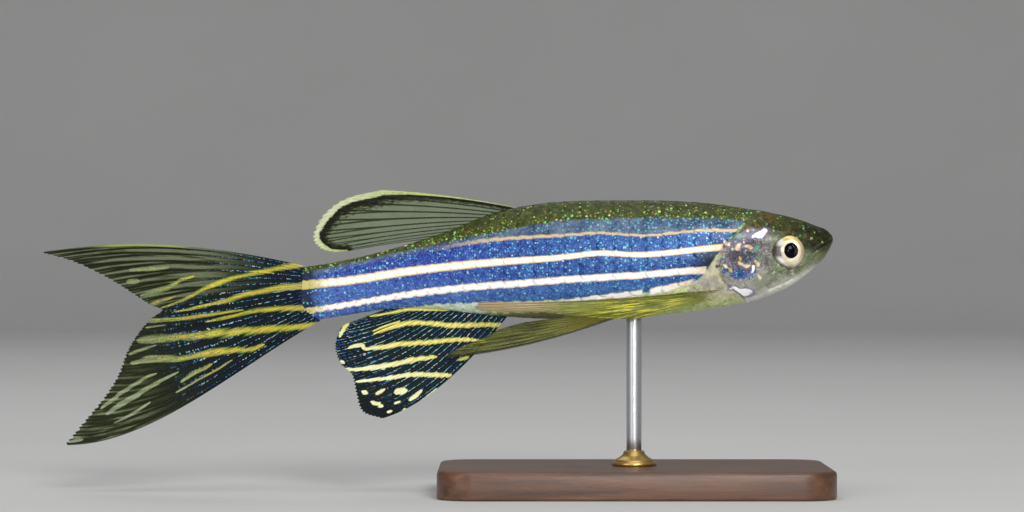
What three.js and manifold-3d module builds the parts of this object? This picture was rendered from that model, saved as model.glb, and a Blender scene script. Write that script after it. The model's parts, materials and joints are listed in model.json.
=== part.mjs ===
// A long-finned zebra danio, life size, swimming, held by a small display stand.
// Millimetres, +Z up. The fish looks along +X, and its right side faces -Y.
//
// The fish is laid out in its own three measures, all from the tip of the snout:
//   back  how far behind the tip
//   up    how far above it
//   out   how far out from the middle plane, to the right side when positive
import * as THREE from "three";
import { mergeVertices } from "three/addons/utils/BufferGeometryUtils.js";
import Module from "manifold-3d";

const wasm = await Module();
wasm.setup();

// Driving dimensions
const BODY_LENGTH = 38; // snout to tail base, a full-grown fish
const SNOUT = { x: 14.24, z: 18.36 }; // where the stand holds the tip of the snout
const CUT = 0.2; // a parting cut between two pieces of the body
const FIT = 0.1; // the gap round an eye, under a gill cover and over the stand's rod
const FIN_THICKNESS = 0.5;
const FIN_ROOT = 0.6; // how much thicker a fin is where it grows from the body
const SWAY = { from: 24, reach: 33, by: 1.3 }; // the tail swings this far to the left
const GILL_COVER = 0.55; // thickness of a gill cover

// The stand
const BASE = { length: 28, width: 16, height: 2, corner: 2.5, bevel: 0.25 };
const ROD = { radius: 0.55, back: 14.24, sides: 18 };
const COLLAR = { radius: 1.6, height: 1.1 };

// How finely the curved surfaces are faceted
const BODY_FACETS = { around: 24, along: 40 };
const EYE_FACETS = { around: 18, along: 10 };

// The body's outline. Each station gives the back's and the belly's height, half the width, and
// how square the section is above and below its middle, where 2 is an ellipse.
const STATIONS = [
  { back: 0.0, top: 0.5, belly: -0.85, half: 0.65, crown: 2.1, keel: 2.0 },
  { back: 0.7, top: 0.66, belly: -1.6, half: 1.0, crown: 2.2, keel: 2.0 },
  { back: 2.4, top: 1.26, belly: -3.08, half: 1.5, crown: 2.5, keel: 2.0 },
  { back: 5.2, top: 1.92, belly: -4.43, half: 2.08, crown: 2.5, keel: 2.0 },
  { back: 8.8, top: 2.48, belly: -5.22, half: 2.42, crown: 2.3, keel: 2.0 },
  { back: 15.2, top: 2.7, belly: -5.93, half: 2.4, crown: 2.1, keel: 2.1 },
  { back: 21.0, top: 2.46, belly: -5.92, half: 1.98, crown: 2.0, keel: 2.1 },
  { back: 23.8, top: 1.95, belly: -5.76, half: 1.7, crown: 2.0, keel: 2.1 },
  { back: 28.1, top: 0.3, belly: -5.3, half: 1.25, crown: 2.0, keel: 2.1 },
  { back: 31.0, top: -0.6, belly: -5.2, half: 0.97, crown: 2.0, keel: 2.0 },
  { back: 35.3, top: -1.65, belly: -5.76, half: 0.66, crown: 2.0, keel: 2.0 },
  { back: 38.0, top: -2.1, belly: -6.2, half: 0.42, crown: 2.0, keel: 2.0 },
];
const BLUNT_SNOUT = 0.8; // the snout rounds off over this length

// A smooth curve through the stations' values of one measure: a cubic between each two stations,
// whose slope at a station is its neighbours' slopes, weighted by how near each neighbour is.
function through(measure) {
  const at = STATIONS.map((station) => station.back);
  const value = STATIONS.map((station) => station[measure]);
  const last = at.length - 1;
  const rise = at.slice(1).map((x, i) => (value[i + 1] - value[i]) / (x - at[i]));
  const slope = at.map((x, i) => {
    if (i === 0) return rise[0];
    if (i === last) return rise[last - 1];
    const before = x - at[i - 1];
    const after = at[i + 1] - x;
    return (rise[i] * before + rise[i - 1] * after) / (before + after);
  });
  return (back) => {
    const clamped = Math.min(Math.max(back, 0), at[last]);
    const i = Math.min(at.findLastIndex((x) => x <= clamped), last - 1);
    const width = at[i + 1] - at[i];
    const t = (clamped - at[i]) / width;
    const eased = t * t * (3 - 2 * t);
    const leave = t * (1 - t) * (1 - t) * width * slope[i];
    const arrive = t * t * (t - 1) * width * slope[i + 1];
    return value[i] + (value[i + 1] - value[i]) * eased + leave + arrive;
  };
}
const outline = Object.fromEntries(
  ["top", "belly", "half", "crown", "keel"].map((measure) => [measure, through(measure)]),
);

// The tail end swings a little to the left of a straight line.
function sway(back) {
  const share = Math.max(0, back - SWAY.from) / SWAY.reach;
  return SWAY.by * share * share;
}

// From the fish's own measures to the part's frame.
function place(back, up, out) {
  return new THREE.Vector3(SNOUT.x - back, sway(back) - out, SNOUT.z + up);
}

// A point on the body's surface, grown outwards by some millimetres. Around is the angle from the
// back, positive towards the right side.
function onBody(back, around, grown) {
  const snout = Math.min(1, Math.max(0, back) / BLUNT_SNOUT);
  const blunt = Math.sqrt(1 - (1 - snout) ** 2);
  const middle = (outline.top(back) + outline.belly(back)) / 2;
  const above = (outline.top(back) - middle) * blunt + grown;
  const below = (middle - outline.belly(back)) * blunt + grown;
  const half = outline.half(back) * blunt + grown;
  const upper = Math.cos(around) > 0;
  const power = 2 / (upper ? outline.crown(back) : outline.keel(back));
  const up = Math.abs(Math.cos(around)) ** power * (upper ? above : -below);
  const out = Math.abs(Math.sin(around)) ** power * Math.sign(Math.sin(around)) * half;
  return place(back, middle + up, out);
}

// A closed mesh as a solid, with its shared vertices merged.
function solidOf(geometry) {
  const bare = geometry.index ? geometry.clone() : geometry;
  bare.deleteAttribute("normal");
  bare.deleteAttribute("uv");
  const merged = mergeVertices(bare, 1e-4);
  return new wasm.Manifold(
    new wasm.Mesh({
      numProp: 3,
      vertProperties: new Float32Array(merged.attributes.position.array),
      triVerts: new Uint32Array(merged.index.array),
    }),
  );
}

// A geometry whose every vertex is moved by a function.
function shaped(geometry, move) {
  const position = geometry.getAttribute("position");
  const point = new THREE.Vector3();
  for (let i = 0; i < position.count; i += 1) {
    const moved = move(point.fromBufferAttribute(position, i));
    position.setXYZ(i, moved.x, moved.y, moved.z);
  }
  return geometry;
}

// The whole body from snout to tail base: a ball with its poles fore and aft, drawn out to the
// body's outline. Its rings stand closest at the two ends.
function bodySolid(grown = 0) {
  const ball = new THREE.SphereGeometry(1, BODY_FACETS.around, BODY_FACETS.along);
  const length = BODY_LENGTH + 2 * grown;
  return solidOf(
    shaped(ball, (p) => {
      const back = (length * (1 - p.y)) / 2 - grown;
      const pole = Math.abs(p.y) > 1 - 1e-9;
      if (!pole) return onBody(back, Math.atan2(p.x, p.z), grown);
      const middle = (outline.top(back) + outline.belly(back)) / 2;
      return place(back, middle, 0);
    }),
  );
}

// A block as seen from the fish's right side, from an outline of [back, up] points, between two
// distances out from the middle plane.
function block(points, from = -12, to = 12) {
  const corners = points.map(([back, up]) => new THREE.Vector2(SNOUT.x - back, SNOUT.z + up));
  const flat = new THREE.ExtrudeGeometry(new THREE.Shape(corners), {
    depth: to - from,
    bevelEnabled: false,
  });
  flat.rotateX(Math.PI / 2);
  return solidOf(flat.translate(0, -from, 0));
}

// A straight strip of one width from one [back, up] point to another, right through the fish.
function strip([from, to], width) {
  const half = width / 2;
  const edges = [[from, half], [to, half], [to, -half], [from, -half]];
  return block(edges.map(([[back, up], by]) => [back, up + by]));
}

function top(solid) {
  return solid.boundingBox().max[2];
}

// The same on one side only, starting a little way out from the middle plane.
function sideBlock(points, side) {
  return side > 0 ? block(points, 0.5, 12) : block(points, -12, -0.5);
}

// Points on a smooth curve through a few [back, up] points.
function smooth(points, count = 16) {
  const curve = new THREE.SplineCurve(points.map(([back, up]) => new THREE.Vector2(back, up)));
  return curve.getPoints(count).map((p) => [p.x, p.y]);
}

// Parts a solid along a curve that runs from above it to below it, leaving a cut of one width.
// Gives the piece before the curve and the piece behind it.
function part(solid, curve, width) {
  const far = 80;
  const [first, last] = [curve[0], curve[curve.length - 1]];
  const shifted = (by) => curve.map(([back, up]) => [back + by, up]);
  const before = [...shifted(-width / 2), [-far, last[1]], [-far, first[1]]];
  const behind = [...shifted(width / 2), [far, last[1]], [far, first[1]]];
  return [solid.intersect(block(before)), solid.intersect(block(behind))];
}

// Markings on the side of the head, from the photograph's side view
const GILL_EDGE = smooth([
  [5.0, 6],
  [5.9, 1.2],
  [7.5, -0.2],
  [8.2, -1.9],
  [7.9, -3.2],
  [6.4, -4.45],
  [5.3, -8],
]);
const GILL_COVER_OUTLINE = smooth(
  [
    [6.3, 0.75],
    [8.6, 0.6],
    [9.6, -1.9],
    [8.6, -4.1],
    [6.3, -4.15],
    [5.25, -3.4],
    [4.95, -1.7],
    [5.2, 0.1],
    [6.3, 0.75],
  ],
  32,
).slice(1);
const MOUTH_AND_JAW = smooth([
  [-1.6, 7],
  [-1.2, 0.6],
  [0.0, -0.07],
  [0.55, -0.42],
  [1.15, -0.86],
  [1.8, -1.75],
  [2.6, -2.75],
  [3.6, -3.35],
  [4.2, -5.0],
]);

// The same outline, moved outwards along its own normals.
function grownOutline(points, by) {
  const count = points.length;
  return points.map(([back, up], i) => {
    const [backBefore, upBefore] = points[(i + count - 1) % count];
    const [backAfter, upAfter] = points[(i + 1) % count];
    const along = new THREE.Vector2(backAfter - backBefore, upAfter - upBefore).normalize();
    return [back - along.y * by, up + along.x * by];
  });
}

// An eyeball: a ball flattened sideways, looking a little forward and up.
const EYE = { back: 3.4, up: -1.07, out: 1.42, radius: 1.22, depth: 0.68, forward: 0.12 };
function eyeSolid(side, grown = 0) {
  const ball = new THREE.SphereGeometry(1, EYE_FACETS.around, EYE_FACETS.along);
  ball.rotateX(Math.PI / 2);
  ball.scale(EYE.radius + grown, EYE.depth + grown, EYE.radius + grown);
  ball.rotateZ(side * EYE.forward);
  const centre = place(EYE.back, EYE.up, side * EYE.out);
  return solidOf(ball.translate(centre.x, centre.y, centre.z));
}

// A barbel: a short feeler at the corner of the mouth, lying back along the cheek.
const BARBEL = { root: [1.15, -1.0, 1.42], tip: [2.75, -2.35, 2.05], radius: 0.25 };
function barbelSolid(side) {
  const [from, to] = [BARBEL.root, BARBEL.tip].map(([back, up, out]) =>
    place(back, up, side * out),
  );
  const way = new THREE.Vector3().subVectors(to, from);
  const rod = new THREE.CapsuleGeometry(BARBEL.radius, way.length(), 3, 8);
  const upright = new THREE.Vector3(0, 1, 0);
  rod.applyQuaternion(new THREE.Quaternion().setFromUnitVectors(upright, way.normalize()));
  const centre = from.add(to).multiplyScalar(0.5);
  return solidOf(rod.translate(centre.x, centre.y, centre.z));
}

// A fin is a fan of rays. Root holds points along its base and margin holds ray tips along its
// free edge, each from the leading ray to the last, as [back, up, out]. Bow lifts the middle of
// the leading and of the last ray off a straight line, and lean moves that lift from the middle
// towards the free edge.
const MIDDLE_FINS = {
  dorsal_fin: {
    root: [
      [21.8, 1.9, 0],
      [24.6, 1.2, 0],
      [27.6, -0.1, 0],
    ],
    margin: [
      [32.4, 3.36, 0],
      [34.9, 2.75, 0],
      [36.5, 1.6, 0],
      [37.25, 0.15, 0],
      [36.9, -0.7, 0],
      [35.9, -1.07, 0],
      [34.6, -1.0, 0],
    ],
    bow: [0.25, 0.1],
    lean: [0, 0],
    rays: 12,
    steps: 6,
  },
  anal_fin: {
    root: [
      [23.0, -5.3, 0],
      [27.2, -4.95, 0],
      [30.9, -4.75, 0],
    ],
    margin: [
      [32.3, -13.0, 0],
      [33.7, -12.5, 0],
      [34.15, -11.2, 0],
      [34.45, -9.9, 0],
      [35.25, -9.1, 0],
      [35.65, -8.0, 0],
      [35.5, -7.0, 0],
      [35.1, -6.35, 0],
      [34.4, -6.05, 0],
    ],
    bow: [-1.15, 0],
    lean: [0.1, 0],
    rays: 16,
    steps: 6,
  },
};
const TAIL_FIN = {
  root: [
    [37.9, -2.05, 0],
    [38.0, -3.45, 0],
    [37.95, -4.9, 0],
    [36.7, -6.0, 0],
  ],
  margin: [
    [56.9, -1.11, 0],
    [54.6, -1.75, 0.1],
    [52.2, -2.85, 0.2],
    [50.4, -3.95, 0.2],
    [49.0, -4.85, 0.1],
    [48.15, -5.25, 0],
    [49.05, -5.95, -0.1],
    [50.0, -7.1, -0.2],
    [50.7, -8.3, -0.2],
    [51.3, -9.9, -0.1],
    [52.3, -11.5, 0],
    [53.7, -13.2, 0.1],
    [55.15, -14.95, 0.2],
  ],
  bow: [0.98, -1.32],
  lean: [0.1, 0.75],
  rays: 24,
  steps: 8,
};
const FORK_CUT = [
  [36, -3.5],
  [50, -5.5],
]; // parts the tail fin's two lobes, along a ray to the fork
const PAIRED_FINS = {
  pectoral_fin: {
    root: [
      [8.3, -3.7, 1.6],
      [8.55, -4.45, 1.3],
    ],
    margin: [
      [25.4, -4.6, 2.7],
      [25.2, -5.2, 2.65],
      [20.8, -5.35, 2.75],
      [16.8, -5.75, 2.6],
      [13.9, -5.75, 2.3],
    ],
    bow: [0.05, 0],
    lean: [0, 0],
    flare: 0.5,
    rays: 5,
    steps: 9,
  },
  pelvic_fin: {
    root: [
      [15.1, -5.55, 1.15],
      [16.7, -5.6, 0.8],
    ],
    margin: [
      [27.9, -8.65, 1.5],
      [27.1, -8.05, 1.35],
      [25.1, -7.2, 1.15],
      [23.8, -6.6, 1.0],
      [22.2, -6.15, 0.95],
    ],
    bow: [-0.5, 0.1],
    lean: [0, 0],
    rays: 5,
    steps: 7,
  },
};

// A point of a fin's middle surface. Ray runs from 0 at the leading ray to 1 at the last, and
// along runs from 0 at the root to 1 at the free edge.
function onFin(fin, side, ray, along) {
  const [root, margin] = [fin.root, fin.margin].map(
    (points) => new THREE.CatmullRomCurve3(points.map((p) => new THREE.Vector3(...p))),
  );
  const point = root.getPoint(ray).lerp(margin.getPoint(ray), along);
  const [bow, lean] = [fin.bow, fin.lean].map(([first, last]) => first + (last - first) * ray);
  const arch = 4 * along * (1 - along);
  point.y += bow * arch * (1 + lean * (2 * along - 1));
  point.z += arch * (fin.flare ?? 0);
  return place(point.x, point.y, side * point.z);
}

// A fin's solid: a flat box of one cell for each ray and step, laid on the fin's middle surface.
function finSolid(fin, side) {
  const box = new THREE.BoxGeometry(1, 1, 1, fin.rays, fin.steps, 1);
  const step = 1e-3;
  return solidOf(
    shaped(box, (p) => {
      const [ray, along] = [p.x + 0.5, p.y + 0.5];
      const here = onFin(fin, side, ray, along);
      const ahead = Math.sign(0.5 - ray) * step || step;
      const onward = Math.sign(0.5 - along) * step || step;
      const across = onFin(fin, side, ray + ahead, along).sub(here).multiplyScalar(ahead);
      const outward = onFin(fin, side, ray, along + onward).sub(here).multiplyScalar(onward);
      const normal = across.cross(outward).normalize();
      const root = FIN_THICKNESS * FIN_ROOT * (1 - along) ** 3;
      const half = p.z * (FIN_THICKNESS + root);
      return here.addScaledVector(normal, half);
    }),
  );
}

// Facing out, whichever way the mapping turned it.
function facingOut(solid) {
  if (solid.volume() >= 0) return solid;
  const { vertProperties, triVerts } = solid.getMesh();
  const turned = new Uint32Array(triVerts);
  for (let i = 0; i < turned.length; i += 3) {
    [turned[i], turned[i + 1]] = [triVerts[i + 1], triVerts[i]];
  }
  return new wasm.Manifold(new wasm.Mesh({ numProp: 3, vertProperties, triVerts: turned }));
}

// The stand's pieces stand on the base's underside, which is at height 0 with its centre at the
// origin. The rod rises at that centre.
function baseSolid() {
  const [halfLength, halfWidth] = [BASE.length / 2 - BASE.bevel, BASE.width / 2 - BASE.bevel];
  const corner = BASE.corner;
  const shape = new THREE.Shape();
  shape.absarc(halfLength - corner, halfWidth - corner, corner, 0, Math.PI / 2);
  shape.absarc(corner - halfLength, halfWidth - corner, corner, Math.PI / 2, Math.PI);
  shape.absarc(corner - halfLength, corner - halfWidth, corner, Math.PI, Math.PI * 1.5);
  shape.absarc(halfLength - corner, corner - halfWidth, corner, Math.PI * 1.5, Math.PI * 2);
  const plate = new THREE.ExtrudeGeometry(shape, {
    depth: BASE.height - 2 * BASE.bevel,
    bevelThickness: BASE.bevel,
    bevelSize: BASE.bevel,
    bevelSegments: 1,
    curveSegments: 5,
  });
  return solidOf(plate.translate(0, 0, BASE.bevel));
}

function collarSolid() {
  const inner = ROD.radius + FIT;
  const low = BASE.height;
  const profile = [
    [inner, low],
    [COLLAR.radius, low],
    [COLLAR.radius, low + COLLAR.height * 0.35],
    [COLLAR.radius * 0.72, low + COLLAR.height * 0.6],
    [ROD.radius + FIT * 2.5, low + COLLAR.height],
    [inner, low + COLLAR.height],
    [inner, low],
  ];
  const ring = new THREE.LatheGeometry(
    profile.map(([radius, height]) => new THREE.Vector2(radius, height)),
    ROD.sides,
  );
  return solidOf(ring.rotateX(Math.PI / 2));
}

function rodSolid(body) {
  const top = SNOUT.z + outline.belly(ROD.back) + 1;
  const rod = new THREE.CylinderGeometry(ROD.radius, ROD.radius, top - BASE.height, ROD.sides);
  rod.rotateX(Math.PI / 2);
  return solidOf(rod.translate(0, 0, (top + BASE.height) / 2)).subtract(body);
}

// A solid as a mesh of the model, in its own colour and finish.
const fish = new THREE.Group();
function add(name, solid, colour, roughness, metalness) {
  const { vertProperties, triVerts } = facingOut(solid).getMesh();
  const geometry = new THREE.BufferGeometry();
  geometry.setAttribute("position", new THREE.BufferAttribute(vertProperties, 3));
  geometry.setIndex(new THREE.BufferAttribute(triVerts, 1));
  geometry.computeVertexNormals();
  const material = new THREE.MeshStandardMaterial({ color: colour, roughness, metalness });
  const mesh = new THREE.Mesh(geometry, material);
  mesh.name = name;
  fish.add(mesh);
}

// The body, parted into head, trunk and tail.
const wholeBody = bodySolid();
const roundBody = bodySolid(FIT);
const TAIL_CUT = [
  [30.4, 6],
  [31.2, -12],
];
const [headBlock, behindHead] = part(wholeBody, GILL_EDGE, CUT);
const [trunk, tail] = part(behindHead, TAIL_CUT, CUT);
const [jaw, skullBlock] = part(headBlock, MOUTH_AND_JAW, CUT);

// The skull, less the eyes' sockets and the seats of the gill covers. A cover and its seat run
// out past the gill's rear edge, where the cut behind the head ends them.
const underCover = bodySolid(-GILL_COVER);
const underSeat = bodySolid(-GILL_COVER - FIT);
const SEAT_OUTLINE = grownOutline(GILL_COVER_OUTLINE, CUT / 2);
const SIDES = { right: 1, left: -1 };
let head = skullBlock;
for (const side of Object.values(SIDES)) {
  head = head.subtract(sideBlock(SEAT_OUTLINE, side).subtract(underSeat));
  head = head.subtract(eyeSolid(side, FIT));
}

add("head", head, "#6b6a52", 0.35, 0.3);
add("lower_jaw", jaw, "#8a8f72", 0.35, 0.3);
add("trunk", trunk, "#4f68a0", 0.35, 0.4);
add("tail", tail, "#4f68a0", 0.35, 0.4);
for (const [word, side] of Object.entries(SIDES)) {
  const cover = skullBlock.intersect(sideBlock(GILL_COVER_OUTLINE, side)).subtract(underCover);
  add(`gill_cover_${word}`, cover, "#7d86a3", 0.25, 0.6);
  add(`eye_${word}`, eyeSolid(side), "#d9d6bd", 0.15, 0.4);
  add(`barbel_${word}`, barbelSolid(side).subtract(roundBody), "#a7a98a", 0.4, 0.1);
}

// The fins. Each is trimmed where it meets the body.
function addFin(name, fin, side, colour) {
  const whole = facingOut(finSolid(fin, side));
  add(name, whole.subtract(roundBody), colour, 0.4, 0.1);
}
for (const [name, fin] of Object.entries(MIDDLE_FINS)) {
  addFin(name, fin, 1, "#2b3a2c");
}
const lobes = facingOut(finSolid(TAIL_FIN, 1)).subtract(roundBody).subtract(strip(FORK_CUT, CUT));
const [upperLobe, lowerLobe] = lobes.decompose().sort((a, b) => top(b) - top(a));
add("caudal_fin_upper_lobe", upperLobe, "#2b3a2c", 0.4, 0.1);
add("caudal_fin_lower_lobe", lowerLobe, "#2b3a2c", 0.4, 0.1);
for (const [name, fin] of Object.entries(PAIRED_FINS)) {
  for (const [word, side] of Object.entries(SIDES)) {
    addFin(`${name}_${word}`, fin, side, "#9aa04a");
  }
}

add("stand_base", baseSolid(), "#4a3324", 0.5, 0);
add("stand_collar", collarSolid(), "#b8a46a", 0.3, 1);
add("stand_rod", rodSolid(roundBody), "#c9c9c9", 0.25, 1);

export default fish;
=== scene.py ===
# %% [markdown]
# A long-finned zebra danio, life size, on a small display stand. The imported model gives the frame:
# where every part is and how large. This lesson dresses it: a skin over the flesh, scales over
# the skin, thin fins with branching rays, wet eyes, and a stand of wood and metal.
# The fish looks along +X and shows its right side to the camera, which looks along +Y.

import json

import bmesh
import bpy
import numpy as np
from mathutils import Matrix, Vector

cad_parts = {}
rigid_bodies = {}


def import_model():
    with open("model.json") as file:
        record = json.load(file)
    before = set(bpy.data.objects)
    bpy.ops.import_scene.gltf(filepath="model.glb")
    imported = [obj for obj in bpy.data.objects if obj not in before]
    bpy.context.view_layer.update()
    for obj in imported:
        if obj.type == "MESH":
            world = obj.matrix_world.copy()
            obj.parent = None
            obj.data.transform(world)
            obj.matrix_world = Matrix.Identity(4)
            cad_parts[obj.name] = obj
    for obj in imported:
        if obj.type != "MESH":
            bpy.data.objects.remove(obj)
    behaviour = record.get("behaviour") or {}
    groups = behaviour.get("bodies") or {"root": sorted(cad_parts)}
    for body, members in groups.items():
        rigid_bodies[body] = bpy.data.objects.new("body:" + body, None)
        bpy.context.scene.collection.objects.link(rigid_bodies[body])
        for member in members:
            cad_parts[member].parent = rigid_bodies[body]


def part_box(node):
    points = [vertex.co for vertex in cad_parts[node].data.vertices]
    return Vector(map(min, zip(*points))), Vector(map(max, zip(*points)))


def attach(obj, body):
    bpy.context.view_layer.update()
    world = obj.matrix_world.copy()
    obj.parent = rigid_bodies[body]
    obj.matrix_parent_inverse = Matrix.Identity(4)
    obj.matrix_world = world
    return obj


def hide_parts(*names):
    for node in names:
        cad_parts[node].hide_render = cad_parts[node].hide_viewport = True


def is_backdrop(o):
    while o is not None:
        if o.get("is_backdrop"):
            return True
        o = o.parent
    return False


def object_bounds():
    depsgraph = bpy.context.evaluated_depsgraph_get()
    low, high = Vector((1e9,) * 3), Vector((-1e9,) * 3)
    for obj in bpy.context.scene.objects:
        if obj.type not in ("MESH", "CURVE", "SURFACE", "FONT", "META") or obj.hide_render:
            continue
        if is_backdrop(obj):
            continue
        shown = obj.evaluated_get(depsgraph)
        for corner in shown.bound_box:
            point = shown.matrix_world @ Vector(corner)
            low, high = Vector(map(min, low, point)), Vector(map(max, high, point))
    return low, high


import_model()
CAD_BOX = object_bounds()
MM = 0.001
print("The solid model spans, in mm:", [round((b - a) / MM, 2) for a, b in zip(*CAD_BOX)])

# %% [markdown]
# The fish has measures of its own, all in millimetres from the tip of its snout: back is how far
# behind the tip, up is how far above it, and out is how far out from the middle plane, to the
# right side when positive. They are the measures a person would take off a real fish, so every
# size below can be checked against one. The snout sits where the solid model has it.

# %% The fish's own measures
HEAD_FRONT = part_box("head")[1][0] / MM
SNOUT_X = 14.24
SNOUT_Z = 18.36
SWAY = dict(start=24.0, reach=33.0, by=1.3)


def sway(back):
    """How far the tail swings to the left: nothing up to the start, then by the square."""
    return SWAY["by"] * (np.maximum(0, back - SWAY["start"]) / SWAY["reach"]) ** 2


def place(back, up, out):
    """From the fish's measures to the frame, in mm: x falls with back, and -y is the right."""
    back, up, out = np.broadcast_arrays(back, up, out)
    return np.stack([SNOUT_X - back, sway(back) - out, SNOUT_Z + up], axis=-1)


print("The head reaches x", round(HEAD_FRONT, 2), "mm, and the snout is put at", SNOUT_X)

# %% [markdown]
# A fish's body is a loft: an outline seen from the side, a width seen from above, and a section
# that is nearly an ellipse. Twelve stations hold these, and smooth curves run through them.
# The same stations carry the solid model, so the skin fits it without measuring.

# %% The body's stations
#   back   top   belly  half   crown keel: heights, half the width, squareness above and below
STATIONS = np.array([
    [0.0, 0.50, -0.85, 0.65, 2.1, 2.0],
    [0.7, 0.66, -1.60, 1.00, 2.2, 2.0],
    [2.4, 1.26, -3.08, 1.50, 2.5, 2.0],
    [5.2, 1.92, -4.43, 2.08, 2.5, 2.0],
    [8.8, 2.48, -5.22, 2.42, 2.3, 2.0],
    [15.2, 2.70, -5.93, 2.40, 2.1, 2.1],
    [21.0, 2.46, -5.92, 1.98, 2.0, 2.1],
    [23.8, 1.95, -5.76, 1.70, 2.0, 2.1],
    [28.1, 0.30, -5.30, 1.25, 2.0, 2.1],
    [31.0, -0.60, -5.20, 0.97, 2.0, 2.0],
    [35.3, -1.65, -5.76, 0.66, 2.0, 2.0],
    [38.0, -2.10, -6.20, 0.42, 2.0, 2.0],
])
BLUNT_SNOUT = 0.8
TAIL_PINCH = dict(start=36.2, end=38.6, by=0.62)
THINNEST = 0.02


def through(at, value):
    """A smooth curve through points: cubics, whose slope at a point weighs its neighbours'."""
    at, value = np.asarray(at, float), np.asarray(value, float)
    width = np.diff(at)
    rise = np.diff(value) / width
    inner = (rise[1:] * width[:-1] + rise[:-1] * width[1:]) / (width[:-1] + width[1:])
    slope = np.concatenate([rise[:1], inner, rise[-1:]])

    def curve(x):
        x = np.clip(x, at[0], at[-1])
        i = np.clip(np.searchsorted(at, x, side="right") - 1, 0, len(at) - 2)
        t = (x - at[i]) / width[i]
        eased = t * t * (3 - 2 * t)
        leave = t * (1 - t) ** 2 * width[i] * slope[i]
        arrive = t * t * (t - 1) * width[i] * slope[i + 1]
        return value[i] + (value[i + 1] - value[i]) * eased + leave + arrive

    return curve


def ease(value, low, high):
    """0 below low and 1 above high, with a smooth step between."""
    t = np.clip((value - low) / (high - low), 0, 1)
    return t * t * (3 - 2 * t)


def hill(distance, width):
    """A smooth hill: the bell curve of a distance."""
    return np.exp(-((distance / width) ** 2))


top, belly, half_width, crown, keel = (through(STATIONS[:, 0], column) for column in STATIONS.T[1:])
print("Deepest body:", round(float(top(15.2) - belly(15.2)), 2), "mm, widest:",
      round(float(2 * half_width(10.0)), 2), "mm")


# %% A point on the body
def on_body(back, around, grown):
    """
    The body's surface, grown outwards by some mm. Around is the angle from the back's ridge,
    towards the right side. The section is a superellipse, up = |cos| ** (2 / n) and
    out = |sin| ** (2 / n), with an n of its own above and below its middle.
    """
    snout = np.clip(back / BLUNT_SNOUT, 0, 1)
    blunt = np.sqrt(1 - (1 - snout) ** 2)
    tail_end = 1 - TAIL_PINCH["by"] * ease(back, TAIL_PINCH["start"], TAIL_PINCH["end"])
    middle = (top(back) + belly(back)) / 2
    above = (top(back) - middle) * blunt + grown
    below = (middle - belly(back)) * blunt + grown
    half = half_width(back) * blunt * tail_end + grown
    cosine, sine = np.cos(around), np.sin(around)
    power = 2 / np.where(cosine > 0, crown(back), keel(back))
    up = np.abs(cosine) ** power * np.where(cosine > 0, above, -below)
    out = np.abs(sine) ** power * np.sign(sine) * np.maximum(half, THINNEST)
    return place(back, middle + up, out)


def measured(points):
    """Back, up and out of points in the frame, the reverse of place."""
    back = SNOUT_X - points[..., 0]
    return back, points[..., 2] - SNOUT_Z, sway(back) - points[..., 1]


# %% [markdown]
# Scales sit in even rows, so a way round the body must be measured in length, not in angle. The
# table below walks each section once, and afterwards a share of the way round, from 0 at the
# back's ridge over the right flank and the belly to 1, gives the angle.

# %% Even steps round the body
TABLE_BACKS = np.linspace(0, 38.5, 232)
TABLE_SHARES = np.linspace(0, 1, 721)


def angle_table():
    """For each section: add up the lengths between 1440 angles, and read them off evenly."""
    angles = np.linspace(0, 2 * np.pi, 1441)
    rim = on_body(TABLE_BACKS[:, None], angles[None], 0.0)
    steps = np.linalg.norm(np.diff(rim, axis=1), axis=2) + 1e-6
    walked = np.concatenate([np.zeros((len(steps), 1)), np.cumsum(steps, axis=1)], axis=1)
    girths = walked[:, -1]
    rows = [np.interp(TABLE_SHARES, w / w[-1], angles) for w in walked]
    return np.array(rows), girths


ANGLES, GIRTHS = angle_table()
print("Girth behind the gills:", round(float(np.interp(9.0, TABLE_BACKS, GIRTHS)), 1), "mm")


def girth(back):
    """The way round the body at a place, in mm."""
    return np.interp(back, TABLE_BACKS, GIRTHS)


def surface(back, share, grown):
    """The body's surface by share of the way round: the table read off between its entries."""
    back, share, grown = np.broadcast_arrays(back, share, grown)
    whole = np.floor(share)
    row = np.clip(back, 0, TABLE_BACKS[-1]) / TABLE_BACKS[-1] * (len(TABLE_BACKS) - 1)
    column = (share - whole) * (len(TABLE_SHARES) - 1)
    r, c = np.minimum(row.astype(int), len(TABLE_BACKS) - 2), column.astype(int)
    c = np.minimum(c, len(TABLE_SHARES) - 2)
    fr, fc = row - r, column - c
    upper = ANGLES[r, c] * (1 - fc) + ANGLES[r, c + 1] * fc
    lower = ANGLES[r + 1, c] * (1 - fc) + ANGLES[r + 1, c + 1] * fc
    return on_body(back, upper * (1 - fr) + lower * fr, grown)
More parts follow.
